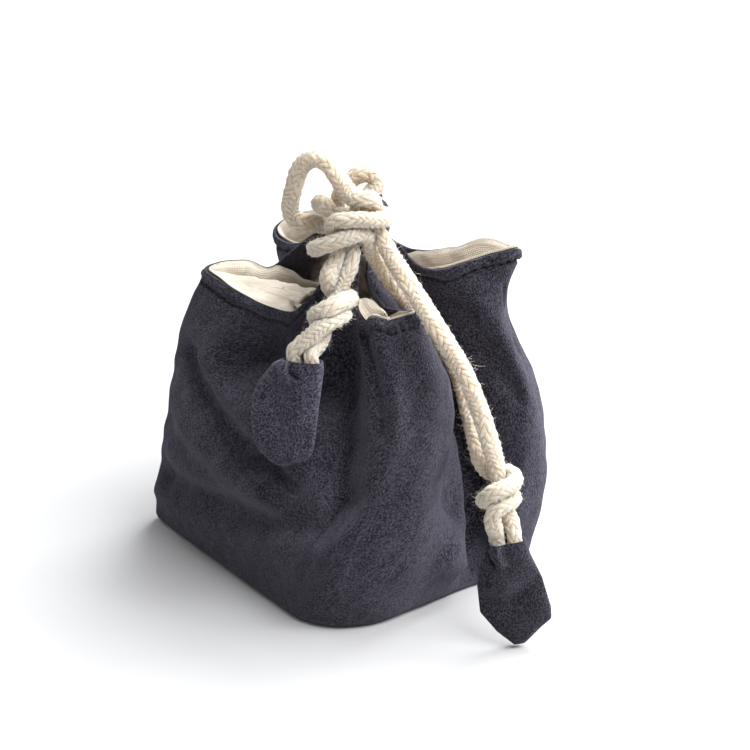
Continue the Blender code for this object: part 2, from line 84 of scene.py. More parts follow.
def add_light(name, turn, height, power):
    """A square soft light at an angle round the pouch and a height, both in degrees."""
    data = bpy.data.lights.new(name, "AREA")
    data.shape = "SQUARE"
    data.size = LIGHT_SIZE
    data.energy = power
    aimed(name, data, math.radians(turn), math.radians(height), LIGHT_DISTANCE)


add_light("key_softbox", 195, 54, 20.5)
add_light("side_softbox", 145, 36, 14.0)
add_light("front_softbox", 104, 56, 14.5)
add_light("left_softbox", -58, 52, 3.0)

room = bpy.data.worlds.new("white_room")
room.use_nodes = True
background = room.node_tree.nodes["Background"]
background.inputs["Color"].default_value = (1.0, 1.0, 1.0, 1.0)
background.inputs["Strength"].default_value = ROOM_STRENGTH
bpy.context.scene.world = room
bpy.context.scene.view_settings.view_transform = "Standard"


def new_finish(name, roughness, **sockets):
    """A material, and three functions: to add a node, to add a maths node, and to cover it."""
    finish = bpy.data.materials.new(name)
    finish.use_nodes = True
    tree = finish.node_tree
    surface = tree.nodes["Principled BSDF"]
    surface.inputs["Roughness"].default_value = roughness
    for socket, value in sockets.items():
        surface.inputs[socket.replace("_", " ")].default_value = value

    def add(kind, out=0, **values):
        """Adds a node and gives one of its outputs.

        A value's key is a setting of the node if it starts with a small letter, else the name
        of an input, or an underscore and the input's number.
        """
        node = tree.nodes.new("ShaderNode" + kind)
        for key, value in values.items():
            if key[0].islower():
                setattr(node, key, value)
                continue
            slot = node.inputs[int(key[1:]) if key[0] == "_" else key.replace("_", " ")]
            if isinstance(value, bpy.types.NodeSocket):
                tree.links.new(value, slot)
            else:
                slot.default_value = value
        return node.outputs[out]

    def maths(kind, x, y=0.0, z=0.0):
        """The result of a maths node, such as ADD, of up to three numbers."""
        return add("Math", operation=kind, _0=x, _1=y, _2=z)

    def cover(colour, height, distance, strength=1.0):
        """Joins a colour, and a height for the bump, to the shader."""
        tree.links.new(colour, surface.inputs["Base Color"])
        bump = add("Bump", Strength=strength, Distance=distance, Height=height)
        tree.links.new(bump, surface.inputs["Normal"])

    return finish, add, maths, cover


def add_piece(name, mesh, finish):
    """The object of a mesh with its material, put in the scene."""
    mesh.materials.append(finish)
    piece = bpy.data.objects.new(name, mesh)
    bpy.context.scene.collection.objects.link(piece)
    return piece


floor_mesh = bpy.data.meshes.new("table")
floor_mesh.from_pydata(FLOOR_CORNERS, [], [(0, 1, 2, 3)])
pale, *_ = new_finish("pale_table", 0.6, Base_Color=(*FLOOR_COLOUR, 1.0))
table = add_piece("table", floor_mesh, pale)


# The outer bag: brushed navy cotton, sewn as one bag with a boxed square bottom and turned in
# at the mouth. The drawn cords gather it into four deep folds with a valley at each loop.
BASE_LENGTH = 0.1024
BASE_DEPTH = 0.0820
CORNER_RADII = {"front": 0.024, "right": 0.007, "back": 0.014, "left": 0.0035}
BOTTOM_ROUND = 0.0035
OUTER_CLOTH = 0.0009
LEVELS = (0.0, 0.28, 0.55, 0.80, 1.0)
NAVY = (0.0122, 0.0112, 0.0170)
NAVY_LIGHT = (0.070, 0.066, 0.089)
NAVY_DARK = (0.002, 0.002, 0.0027)

# Each fold: place on the base outline (0 front corner, 1 right, 2 back, 3 left), mouth height,
# and the wall's points (across, toward the camera) at the last four levels, in millimetres
FOLDS = (
    (0.00, 96.5, (5, 58.5), (15, 51.5), (18, 42), (16, 34)),
    (0.30, 97.5, (27, 49), (32, 42), (32, 34.8), (25.5, 29.5)),
    (0.50, 95.5, (40, 34), (38.5, 28.5), (33, 24.5), (18, 22.5)),
    (0.60, 102.5, (42.5, 22), (37, 11), (26, 11), (10, 16.5)),
    (0.65, 110.0, (44, 16.5), (37.5, 6), (22, 3.5), (13.2, 2.6)),
    (0.70, 106.0, (47, 18), (40, 7.5), (28, 1.5), (19.5, -2.5)),
    (0.77, 101.8, (53, 22), (47.5, 14), (37, 8), (28, 8)),
    (0.87, 106.0, (61, 20.5), (60, 16), (51, 11), (43, 9.5)),
    (1.00, 109.5, (67.8, 10), (64.2, 7), (53.6, 5), (58.2, 6)),
    (1.15, 106.0, (60, -7), (60, -5), (51, -1), (41, -2)),
    (1.35, 103.0, (45, -20), (41, -17), (33, -12), (23, -8)),
    (1.50, 108.27, (32, -27), (27, -23), (20, -17), (12.4, -10.8)),
    (1.70, 103.0, (18, -42), (14, -38), (8, -33), (3, -28)),
    (1.88, 100.5, (9, -55), (4.5, -53), (-1, -49), (-5, -45)),
    (2.05, 94.5, (-6, -60.5), (-10, -57), (-16, -52), (-20.5, -47)),
    (2.25, 94.8, (-18, -52), (-21, -46), (-19, -37), (-13.6, -30)),
    (2.50, 108.01, (-30, -38), (-27, -31), (-14, -20), (3.4, -12.8)),
    (2.66, 94.5, (-42, -31), (-38, -26), (-28, -18), (-14.6, -12)),
    (2.82, 96.3, (-54, -25), (-49.5, -22), (-41, -17), (-29, -13)),
    (3.00, 97.0, (-58.4, -13.5), (-54.5, -12), (-50, -8), (-42, -5)),
    (3.18, 94.0, (-54, 1), (-49.5, 4), (-42, 7), (-30, 8)),
    (3.40, 93.0, (-38, 22), (-36, 23), (-28, 21), (-15.5, 20)),
    (3.58, 99.0, (-24, 39), (-22, 35), (-14, 26), (-5, 15.5)),
    (3.70, 110.57, (-14, 48.5), (-8, 38), (0, 22), (5.2, 6.2)),
    (3.84, 95.0, (-5, 57), (4, 49), (8, 38), (6.5, 27.5)),
)


def turned(points):
    """Points (across, toward, up) in millimetres, turned from the camera's frame to x, y, z."""
    points = np.asarray(points, float) * MM
    across = np.array([math.cos(TURN), math.sin(TURN), 0.0])
    toward = np.array([math.sin(TURN), -math.cos(TURN), 0.0])
    flat = points[..., :1] * across + points[..., 1:2] * toward
    if points.shape[-1] == 3:
        flat = flat + points[..., 2:] * np.array([0.0, 0.0, 1.0])
    return flat


def periodic_spline(values, where):
    """Cubic spline through values at 0, 1, 2..., closed on itself, read at where."""
    count = len(values)
    system = 4 * np.eye(count) + np.roll(np.eye(count), 1, 0) + np.roll(np.eye(count), -1, 0)
    bend = 6 * (np.roll(values, -1, 0) - 2 * values + np.roll(values, 1, 0))
    moment = np.linalg.solve(system, bend.reshape(count, -1)).reshape(values.shape)
    left = np.floor(where).astype(int) % count
    right = (left + 1) % count
    share = (where - np.floor(where)).reshape((-1,) + (1,) * (values.ndim - 1))
    return (
        moment[left] * (1 - share) ** 3 / 6
        + moment[right] * share**3 / 6
        + (values[left] - moment[left] / 6) * (1 - share)
        + (values[right] - moment[right] / 6) * share
    )


def base_outline(places):
    """Points of the base's rectangle with round corners, at places 0 to 4 round it.

    Beside a corner of radius r the point is corner middle + r (cos a out - sin a along), with
    a falling from 45 degrees to none over the length r; elsewhere it is on the straight side.
    """
    half = np.array([BASE_LENGTH / 2, BASE_DEPTH / 2])
    names = ("front", "right", "back", "left")
    corners = np.array([(1, -1), (1, 1), (-1, 1), (-1, -1)]) * half
    radii = np.array([CORNER_RADII[name] for name in names])
    side = np.floor(places % 4).astype(int) % 4
    start, end = corners[side], corners[(side + 1) % 4]
    length = np.linalg.norm(end - start, axis=1)[:, None]
    along = (end - start) / length
    outward = np.stack([along[:, 1], -along[:, 0]], axis=1)
    gone = (places % 4 - side)[:, None] * length
    found = start + along * gone
    for corner, sense, passed, radius in (
        (start, 1.0, gone, radii[side][:, None]),
        (end, -1.0, length - gone, radii[(side + 1) % 4][:, None]),
    ):
        angle = math.pi / 4 * (1 - passed / radius)
        middle = corner + sense * along * radius - outward * radius
        spoke = np.cos(angle) * outward - np.sin(angle) * along * sense
        found = np.where(passed < radius, middle + radius * spoke, found)
    return found


def smooth_up(offsets, shares):
    """Offsets at shares of the height: cubic Hermite pieces through the values at LEVELS."""
    levels = np.array(LEVELS)
    gaps = np.diff(levels)
    slopes = np.diff(offsets, axis=0) / gaps[:, None, None]
    before, after = gaps[:-1, None, None], gaps[1:, None, None]
    inner = (slopes[:-1] * after + slopes[1:] * before) / (before + after)
    tangents = np.concatenate([1.25 * slopes[:1], inner, slopes[-1:]])
    left = np.clip(np.searchsorted(levels, shares, side="right") - 1, 0, len(levels) - 2)
    gap = gaps[left][:, None, None]
    s = ((shares - levels[left]) / gaps[left])[:, None, None]
    return (
        offsets[left] * (2 * s**3 - 3 * s**2 + 1)
        + tangents[left] * gap * (s**3 - 2 * s**2 + s)
        + offsets[left + 1] * (3 * s**2 - 2 * s**3)
        + tangents[left + 1] * gap * (s**3 - s**2)
    )


def unit(vectors):
    """Vectors of length 1 that point the same way."""
    return vectors / np.linalg.norm(vectors, axis=-1, keepdims=True)


def outward_of(flat):
    """Level normals of closed rows of points: the chord of each point's neighbours, turned."""
    chord = np.roll(flat, -1, axis=1) - np.roll(flat, 1, axis=1)
    return unit(np.stack([chord[..., 1], -chord[..., 0]], axis=-1))


# Where the mouth's edge stands higher between two folds: place and half width in folds, the
# share of the height it starts from, and how much higher in millimetres
MOUTH_RISES = (
    (24.65, 0.48, 0.80, 2.9), (16.72, 0.85, 0.72, 7.5), (8.1, 0.55, 0.85, -1.6),
    (8.75, 0.40, 0.80, 2.2), (9.75, 0.50, 0.85, -0.4),
)


def wall(round_it, shares):
    """The bag's smooth wall at stations round it and at shares of its height.

    A point is the base outline plus an offset, and the offset is splined round the folds and
    up the levels. Its height is its share of the mouth's, more at MOUTH_RISES, each a squared
    cosine round the bag. The foot is drawn in by a quarter circle of radius BOTTOM_ROUND.
    """
    count = len(FOLDS)
    place = np.array([fold[0] for fold in FOLDS])
    height = np.array([fold[1] for fold in FOLDS]) * MM
    points = turned([fold[2:] for fold in FOLDS])[..., :2]
    offsets = points - base_outline(place)[:, None]
    offsets = np.concatenate([np.zeros((count, 1, 2)), offsets], axis=1)
    offset = np.moveaxis(periodic_spline(offsets, round_it), 1, 0)
    mouth = periodic_spline(height, round_it)
    even = np.arange(count) * 4 / count
    base = base_outline(periodic_spline(place - even, round_it) + round_it * 4 / count)
    flat = base[None] + smooth_up(offset, shares)
    up = shares[:, None] * mouth[None]
    for place_of_rise, half, start, rise in MOUTH_RISES:
        gap = np.clip(np.abs(round_it - place_of_rise) / half, 0, 1)
        part = np.clip((shares - start) / (1 - start), 0, 1) ** 1.5
        up = up + rise * MM * part[:, None] * np.cos(math.pi / 2 * gap)[None] ** 2
    below = np.clip(BOTTOM_ROUND - up, 0, BOTTOM_ROUND)
    drawn_in = BOTTOM_ROUND - np.sqrt(BOTTOM_ROUND**2 - below**2)
    flat = flat - outward_of(flat) * drawn_in[..., None]
    return np.concatenate([flat, up[..., None]], axis=-1)


def normals_of(grid):
    """Unit normals of a grid closed round its rows: the cross of its two central differences."""
    round_step = np.roll(grid, -1, axis=1) - np.roll(grid, 1, axis=1)
    up_step = np.gradient(grid, axis=0)
    normal = np.cross(round_step, up_step)
    return normal / np.maximum(np.linalg.norm(normal, axis=-1, keepdims=True), 1e-12)


def running_sum(steps):
    """How far along each point is: 0, then the sum of the steps so far."""
    return np.concatenate([[0.0], np.cumsum(steps)])


def even_stations(count):
    """Stations round the bag that are equally far apart, on the mean of three levels."""
    fine = np.linspace(0, len(FOLDS), 2400, endpoint=False)
    rows = wall(fine, np.array([0.3, 0.65, 1.0]))
    along = running_sum(np.linalg.norm(np.roll(rows, -1, axis=1) - rows, axis=-1).mean(axis=0))
    want = np.linspace(0, along[-1], count, endpoint=False)
    return np.interp(want, along, np.append(fine, len(FOLDS))), along[-1]


def closed_mesh(name, rows, finish, uv):
    """A mesh of rows that are each closed round.

    rows is an array (row, column, 3) and uv an array (row, column + 1, 2). The first and last
    rows are each drawn to a point, or they meet if uv has one row more.
    """
    count, columns = rows.shape[:2]
    points = rows.reshape(-1, 3)
    r = np.arange(len(uv) - 1)[:, None]
    c = np.arange(columns)[None]
    beside = (c + 1) % columns
    here, above = r * columns, (r + 1) % count * columns
    quads = np.stack([here + c, here + beside, above + beside, above + c], axis=-1)
    places = np.stack([uv[r, c], uv[r, c + 1], uv[r + 1, c + 1], uv[r + 1, c]], axis=2)
    parts = [(quads.reshape(-1, 4), places)]
    if len(uv) == count:
        first = np.full(columns, len(points))
        points = np.concatenate([points, rows[:1].mean(1), rows[-1:].mean(1)])
        edge = (count - 1) * columns
        middle = (uv[:, :-1] + uv[:, 1:]) / 2
        low = np.stack([first, beside[0], c[0]], axis=-1)
        high = np.stack([first + 1, edge + c[0], edge + beside[0]], axis=-1)
        parts.append((low, np.stack([middle[0], uv[0, 1:], uv[0, :-1]], axis=1)))
        parts.append((high, np.stack([middle[-1], uv[-1, :-1], uv[-1, 1:]], axis=1)))
    corners = np.concatenate([faces.ravel() for faces, _ in parts])
    sizes = np.concatenate([np.full(len(faces), faces.shape[1]) for faces, _ in parts])
    places = np.concatenate([part.reshape(-1, 2) for _, part in parts])
    mesh = bpy.data.meshes.new(name)
    mesh.vertices.add(len(points))
    mesh.vertices.foreach_set("co", points.astype(np.float32).ravel())
    mesh.loops.add(len(corners))
    mesh.loops.foreach_set("vertex_index", corners.astype(np.int32))
    mesh.polygons.add(len(sizes))
    mesh.polygons.foreach_set("loop_start", running_sum(sizes)[:-1].astype(np.int32))
    mesh.polygons.foreach_set("loop_total", sizes.astype(np.int32))
    mesh.update(calc_edges=True)
    mesh.polygons.foreach_set("use_smooth", np.ones(len(sizes), bool))
    layer = mesh.uv_layers.new(name="cloth")
    layer.data.foreach_set("uv", places.astype(np.float32).ravel())
    mesh.validate()
    return add_piece(name, mesh, finish)


def laid_flat(rows, width):
    """A bag's uv in metres: across its width, and down by the mean distance between rows."""
    lengths = np.linalg.norm(np.diff(rows, axis=0), axis=-1).mean(axis=1)
    columns = np.linspace(0, width, rows.shape[1] + 1)
    return np.stack(np.meshgrid(columns, running_sum(lengths)), axis=-1)


def brushed_cotton(name, painted_light):
    """Navy cotton with a brushed nap: short fibres lying slantwise, over crepe pebbles.

    The tone is nap streaks, pebbles and a slow cloud added up. The bump is the first two.
    """
    finish, add, maths, cover = new_finish(
        name, 0.95, Sheen_Weight=0.28, Sheen_Roughness=0.45, Sheen_Tint=(0.73, 0.70, 0.88, 1.0),
        Specular_IOR_Level=0.1,
    )
    cloth = add("UVMap", uv_map="cloth")
    drift = add("TexNoise", out="Color", Vector=cloth, Scale=45.0, Detail=1.0)
    bent = add("Mix", out=1, data_type="VECTOR", _0=0.005, _4=cloth, _5=drift)
    slant = add("Mapping", Vector=bent, Rotation=(0, 0, math.radians(35)))
    nap_space = add("Mapping", Vector=slant, Scale=(2.4, 1.0, 1.0))
    nap = add("TexNoise", Vector=nap_space, Scale=1250.0, Detail=3.0, Roughness=0.65)
    pebbles = add("TexNoise", Vector=slant, Scale=1700.0, Detail=1.0)
    clouds = add("TexNoise", Vector=cloth, Scale=70.0, Detail=4.0, Roughness=0.6)
    grain = maths("MULTIPLY_ADD", nap, 0.8, maths("MULTIPLY", pebbles, 0.3))
    ramp = add("ValToRGB", Fac=maths("MULTIPLY_ADD", clouds, 0.15, grain))
    stops = ramp.node.color_ramp.elements
    stops.new(0.5)
    # Painted light or shade: the colours are scaled by one factor for the whole piece, 1 for none
    for stop, place, colour in zip(stops, (0.48, 0.59, 0.71), (NAVY_DARK, NAVY, NAVY_LIGHT)):
        stop.position = place
        stop.color = (*(painted_light * part for part in colour), 1.0)
    cover(ramp, grain, 0.0009)
    return finish


def near_path(around, up, path, girth):
    """Distance on the unrolled wall from every point to a path of (around, up) points.

    It is the least distance to the path's straight stretches, the short way round the bag.
    """
    nearest = np.full(around.shape, np.inf)
    for (x0, z0), (x1, z1) in zip(path[:-1], path[1:]):
        run = (x1 - x0 + girth / 2) % girth - girth / 2
        rise = z1 - z0
        dx = (around - x0 + girth / 2) % girth - girth / 2
        share = np.clip((dx * run + (up - z0) * rise) / (run * run + rise * rise), 0, 1)
        nearest = np.minimum(nearest, np.hypot(dx - share * run, up - z0 - share * rise))
    return nearest


def bell(distance, half):
    """How much of a crease is left at a distance: exp(-(distance / half width)^2)."""
    return np.exp(-((distance / half) ** 2))


# Creases of the wall: depth and half width in millimetres, outward if above 0, then a path of
# (place in folds, share of the height)
CREASES = (
    (-3.6, 11.0, ((1.9, 0.47), (2.1, 0.36))),
    (-5.0, 9.0, ((1.95, 0.37), (2.15, 0.28))),
    (4.0, 7.0, ((1.9, 0.18), (2.4, 0.10))),
    (-7.5, 7.5, ((3.1, 0.80), (3.6, 0.58), (4.0, 0.42), (4.3, 0.26), (4.4, 0.16))),
    (-2.0, 5.0, ((2.3, 0.90), (2.6, 0.80), (2.9, 0.70))),
    (1.2, 6.0, ((0.6, 0.55), (0.8, 0.40), (0.9, 0.22))),
    (-3.9, 4.2, ((19.6, 0.70), (20.5, 0.59), (21.2, 0.53), (21.9, 0.50), (22.7, 0.44))),
    (1.8, 4.5, ((20.0, 0.70), (20.4, 0.67), (21.0, 0.63), (21.5, 0.59), (22.4, 0.55))),
    (2.2, 5.0, ((19.5, 0.52), (20.4, 0.46), (21.0, 0.43), (22.0, 0.42))),
    (-3.4, 5.5, ((19.7, 0.225), (20.3, 0.23), (21.1, 0.28), (22.3, 0.30), (23.7, 0.36))),
    (-1.3, 7.0, ((23.9, 0.37), (24.8, 0.44), (25.3, 0.47), (25.6, 0.52))),
    (1.5, 8.0, ((19.1, 0.12), (19.8, 0.10), (20.6, 0.11))),
    (1.6, 6.0, ((19.5, 0.33), (20.4, 0.34), (21.4, 0.37), (22.4, 0.40))),
    (-14.0, 10.5, ((20.9, 0.79), (21.9, 0.78), (22.6, 0.73))),
    (-0.9, 1.1, ((7.55, 0.96), (7.7, 0.86), (7.9, 0.74))),
    (-2.5, 8.0, ((22.2, 0.68), (22.9, 0.62), (23.4, 0.56))),
    (-2.2, 2.4, ((24.15, 1.0), (24.28, 0.93), (24.54, 0.85), (24.68, 0.75), (24.8, 0.66))),
    (1.5, 4.0, ((24.75, 0.97), (24.85, 0.87), (24.98, 0.75), (25.05, 0.66))),
    (-4.0, 9.0, ((10.6, 0.80), (10.2, 0.55), (9.9, 0.35))),
    (3.0, 8.0, ((9.4, 0.85), (9.2, 0.60), (9.0, 0.40))),
    (-3.5, 8.0, ((12.4, 0.85), (12.6, 0.60), (12.3, 0.40))),
    (-3.0, 7.0, ((8.7, 0.42), (9.6, 0.30), (10.8, 0.24))),
    (2.5, 7.0, ((12.9, 0.50), (12.0, 0.36), (11.2, 0.30))),
    (-4.0, 9.0, ((15.6, 0.80), (15.4, 0.55), (15.2, 0.38))),
    (3.0, 8.0, ((16.8, 0.80), (17.0, 0.60), (17.2, 0.40))),
    (-3.5, 7.0, ((17.8, 0.75), (17.9, 0.55), (17.5, 0.35))),
    (-2.5, 6.5, ((14.8, 0.35), (15.9, 0.26), (17.0, 0.24))),
    (-8.0, 7.5, ((23.3, 0.82), (23.5, 0.70), (23.7, 0.60), (23.8, 0.50), (23.9, 0.45))),
    (1.2, 6.0, ((25.3, 0.93), (25.6, 0.84), (25.9, 0.71), (26.1, 0.54))),
    (-2.0, 4.2, ((6.1, 0.98), (6.34, 0.91), (6.42, 0.83), (6.6, 0.72), (6.8, 0.63))),
    (1.2, 6.0, ((6.6, 0.93), (6.75, 0.86), (6.9, 0.78))),
    (-0.7, 1.1, ((7.46, 0.97), (7.56, 0.89), (7.68, 0.83))),
    (-0.9, 2.0, ((7.6, 0.34), (7.0, 0.355), (6.5, 0.36))),
    (-1.6, 5.0, ((9.4, 0.80), (9.9, 0.62), (10.6, 0.50))),
    (1.2, 6.0, ((9.0, 0.55), (9.8, 0.40), (10.8, 0.34))),
    (-1.8, 6.0, ((12.4, 0.90), (12.9, 0.72), (13.0, 0.56))),
    (-1.5, 5.0, ((14.6, 0.30), (15.6, 0.36), (16.6, 0.32), (17.4, 0.24))),
    (1.0, 6.0, ((14.8, 0.46), (15.8, 0.50), (16.8, 0.46))),
)
# In metres: the height that those shares are of, the height under which the creases fade out,
# and how far slack moves the cloth
CREASED_HEIGHT = 0.100
FOOT_CALM = 0.012
SLACK = 0.00022


def creased_wall(count, shares):
    """The wall at even stations, moved along its normals by the creases and a little slack.

    Each crease adds its depth times bell, and the slack is three products of sine waves. Also
    gives its normals and the distances round the bag and up it.
    """
    stations, girth = even_stations(count)
    even = np.arange(count + 1) * girth / count
    smooth = wall(stations, shares)
    normals = normals_of(smooth)
    around, up = np.broadcast_arrays(even[None, :-1], smooth[..., 2])
    move = np.zeros(around.shape)
    for depth, half, path in CREASES:
        places, heights = np.array(path).T
        places = np.interp(places % len(FOLDS), np.append(stations, len(FOLDS)), even)
        distance = near_path(around, up, list(zip(places, heights * CREASED_HEIGHT)), girth)
        move += depth * MM * bell(distance, half * MM)
    move *= np.clip(up / FOOT_CALM, 0, 1) ** 1.5
    x, z = around / MM, up / MM
    slack = (
        np.sin(0.31 * x + 0.23 * z + 1.1) * np.sin(0.17 * x - 0.29 * z)
        + 0.6 * np.sin(0.52 * x - 0.33 * z + 2.0) * np.sin(0.11 * x + 0.41 * z + 0.7)
        + 0.5 * np.sin(0.83 * x + 0.12 * z + 0.4) * np.sin(0.61 * z - 0.19 * x)
    )
    move += SLACK * slack * np.clip(up / (FOOT_CALM / 2), 0, 1)
    return smooth + normals * move[..., None], normals, around, up


HEM_BEAD = 0.00070
HEM_GROOVE = 0.00115
PUCKER = 0.00062
PUCKER_LENGTH = 0.0024
STITCH_DROP = 0.0034
# Where the bead and the puckers are deepest below the mouth, and half widths, in millimetres
BEAD_DOWN = 1.5
BEAD_HALF = 1.3
GROOVE_HALF = 0.55
PUCKER_DOWN = 2.9
PUCKER_HALF = 1.4


def hem_rise(around, below):
    """How far the hem stands out, at distances round the bag and below its mouth.

    A bead from the rolled edge to the stitches, a groove at the stitches, and slanting puckers
    between the two, whose length and depth waver round the bag.
    """
    x, down = around / MM, below / MM
    drift = 0.35 * np.sin(0.19 * x) + 0.25 * np.sin(0.47 * x + 1)
    bead = HEM_BEAD * bell(down - BEAD_DOWN, BEAD_HALF)
    groove = HEM_GROOVE * bell(down - STITCH_DROP / MM - drift, GROOVE_HALF)
    wave = 2 * math.pi * around / PUCKER_LENGTH + 1.8 * np.sin(0.27 * x) + 1.1 * np.sin(0.61 * x)
    depth = np.clip(0.55 + 0.35 * np.sin(0.13 * x + 1.0) + 0.3 * np.sin(0.37 * x), 0.1, 1.2)
    fade = bell(down - PUCKER_DOWN, PUCKER_HALF) * depth
    return bead - groove + PUCKER * np.sin(wave - 1.3 * down) * fade


AROUND = 640
navy_cloth = brushed_cotton("brushed_navy_cotton", 1.0)
shares = np.concatenate(
    [np.linspace(0, 0.05, 9)[:-1], np.linspace(0.05, 0.92, 72)[:-1], np.linspace(0.92, 1.0, 33)]
)
bag_wall, wall_normals, around, up = creased_wall(AROUND, shares)
outer_face = bag_wall + wall_normals * hem_rise(around, up[-1] - up)[..., None]


BOTTOM_RINGS = (0.04, 0.3, 0.6, 0.85, 0.97)


def bottom_rings(edge):
    """Rings from near the middle of the bottom out to its edge row."""
    middle = edge.mean(axis=0)
    return middle + (edge - middle)[None] * np.array(BOTTOM_RINGS)[:, None, None]


def cloth_bag(outer_face, inner_face, rim_rows):
    """Rows of a closed bag: under the bottom, up the outside, over the rim, down the inside.

    The rim is a half circle from the outer face's last row to the inner face's last.
    """
    outer_edge, inner_edge = outer_face[-1], inner_face[-1]
    middle, half = (outer_edge + inner_edge) / 2, (outer_edge - inner_edge) / 2
    rise = np.array([0.0, 0.0, 1.0]) * np.linalg.norm(half, axis=-1, keepdims=True)
    angles = np.linspace(0, math.pi, rim_rows + 2)[1:-1, None, None]
    rim = middle + half * np.cos(angles) + rise * np.sin(angles)
    under, inside = bottom_rings(outer_face[0]), bottom_rings(inner_face[0])[::-1]
    return np.concatenate([under, outer_face, rim, inner_face[::-1], inside])


coarse = np.unique([*range(0, len(shares), 5), len(shares) - 1])
inner_side = (bag_wall - wall_normals * OUTER_CLOTH)[coarse]
inner_side[..., 2] = np.maximum(inner_side[..., 2], OUTER_CLOTH)
outer_rows = cloth_bag(outer_face, inner_side, 5)
girth = even_stations(AROUND)[1]
outer_bag = closed_mesh("outer_bag", outer_rows, navy_cloth, laid_flat(outer_rows, girth))
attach(outer_bag, "root")
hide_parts("outer_shell")


# The hem's topstitch: navy thread, a row of machine stitches 3.4 mm below the mouth, each
# pulled a little into the cloth.
STITCH_LENGTH = 0.0028
THREAD = 0.00042
THREAD_LIFT = 0.0001
# The share of a stitch that shows, and how many threads deep its ends go
STITCH_SEEN = 0.86
THREAD_SINK = 0.7
THREAD_COLOUR = (0.030, 0.030, 0.042)


def along_wall(drop, lift):
    """Points, tangents and normals of a line on the wall, a distance below the mouth."""
    rows = np.arange(len(shares))
    row = np.array([np.interp(top - drop, column, rows) for top, column in zip(up[-1], up.T)])
    low = np.floor(row).astype(int)
    part = (row - low)[:, None]
    column = np.arange(AROUND)
    line = outer_face[low, column] * (1 - part) + outer_face[low + 1, column] * part
    normal = wall_normals[low, column]
    tangent = unit(np.roll(line, -1, axis=0) - np.roll(line, 1, axis=0))
    return line + normal * lift, tangent, normal


def bars_mesh(name, bars, finish, smooth):
    """A mesh of many small bars with flat ends, from an array (bar, row, column, 3)."""
    count, rows, columns = bars.shape[:3]
    i = np.arange(rows - 1)[:, None] * columns
    j = np.arange(columns)[None]
    k = (j + 1) % columns
    quads = np.stack([i + j, i + columns + j, i + columns + k, i + k], axis=-1).reshape(-1, 4)
    ends = np.concatenate([j, rows * columns - 1 - j])
    shift = np.arange(count)[:, None, None] * rows * columns
    faces = (quads + shift).reshape(-1, 4).tolist() + (ends + shift).reshape(-1, columns).tolist()
    mesh = bpy.data.meshes.new(name)
    mesh.from_pydata(bars.reshape(-1, 3), [], faces)
    mesh.polygons.foreach_set("use_smooth", np.full(len(faces), smooth))
    return add_piece(name, mesh, finish)


def stitch_row(line, tangent, normal):
    """One small pointed bar of thread for each stitch, along a closed line.

    A bar's point at t along it, from 0 to 1, is half a thread times sin(pi t)^0.5 from its
    middle, and its ends go down into the cloth with the fourth power of t.
    """
    along = running_sum(np.linalg.norm(np.roll(line, -1, axis=0) - line, axis=1))
    count = int(along[-1] / STITCH_LENGTH)
    centres = (np.arange(count) + 0.5) * along[-1] / count
    place, way, out = (
        np.stack([np.interp(centres, along, np.append(c, c[0])) for c in values.T], axis=1)
        for values in (line, tangent, normal)
    )
    way = unit(way)
    out = unit(out - way * (out * way).sum(axis=1, keepdims=True))
    side = np.cross(out, way)
    t = np.linspace(0, 1, 7)[:, None]
    a = np.arange(6)[None] * math.pi / 3
    r = THREAD / 2 * np.sqrt(np.sin(math.pi * np.clip(t, 0.02, 0.98)))
    x = (t - 0.5) * STITCH_LENGTH * STITCH_SEEN + 0 * a
    y, z = r * np.cos(a), r * np.sin(a) - THREAD * THREAD_SINK * (2 * t - 1) ** 4
    bars = place[:, None, None]
    for direction, share in ((way, x), (side, y), (out, z)):
        bars = bars + direction[:, None, None] * share[None, ..., None]
    return bars


thread, *_ = new_finish("navy_thread", 0.6, Sheen_Weight=0.2, Base_Color=(*THREAD_COLOUR, 1.0))
stitches = stitch_row(*along_wall(STITCH_DROP, THREAD_LIFT))
hem_stitches = bars_mesh("hem_stitches", stitches, thread, True)
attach(hem_stitches, "root")


# The lining: an inner bag of cream linen and cotton, sewn to the outer one along the mouth,
# with dark slubs in its yarn. It is a little slack, so it stands in soft folds in the openings.
CLOTH_GAP = 0.0004
LINING_CLOTH = 0.0006
CREAM = (0.66, 0.60, 0.51)
CREAM_SHADE = (0.50, 0.435, 0.355)
SPECK = (0.11, 0.08, 0.06)


def slubbed_linen(name):
    """Cream plain weave: two sets of threads as waves, uneven yarn, and dark specks."""
    finish, add, maths, cover = new_finish(name, 0.9, Sheen_Weight=0.2, Specular_IOR_Level=0.2)
    cloth = add("UVMap", uv_map="cloth")
    warp, weft = (
        add(
            "TexWave", out="Fac", bands_direction=way, Vector=cloth, Scale=scale,
            Distortion=1.5, Detail=1.0, Detail_Scale=2.0,
        )
        for way, scale in (("X", 620.0), ("Y", 570.0))
    )
    yarn_space = add("Mapping", Vector=cloth, Scale=(1.0, 9.0, 1.0))
    yarn = add("TexNoise", Vector=yarn_space, Scale=160.0, Detail=3.0)
    tone = add("MapRange", Value=yarn, _1=0.35, _2=0.65, _3=0.0, _4=1.0)
    base = add("Mix", out=2, data_type="RGBA", _0=tone, _6=(*CREAM_SHADE, 1.0), _7=(*CREAM, 1.0))
    speck_space = add("Mapping", Vector=cloth, Scale=(1.0, 2.2, 1.0))
    specks = add("TexNoise", Vector=speck_space, Scale=1000.0, Detail=1.0)
    few = add("TexNoise", Vector=cloth, Scale=320.0, Detail=1.0)
    both = maths("MULTIPLY", specks, few)
    there = add("MapRange", Value=both, _1=0.43, _2=0.48, _3=0.0, _4=0.75)
    colour = add("Mix", out=2, data_type="RGBA", _0=there, _6=base, _7=(*SPECK, 1.0))
    cover(colour, maths("ADD", warp, weft), 0.00012, 0.6)
    return finish


linen = slubbed_linen("slubbed_cream_linen")
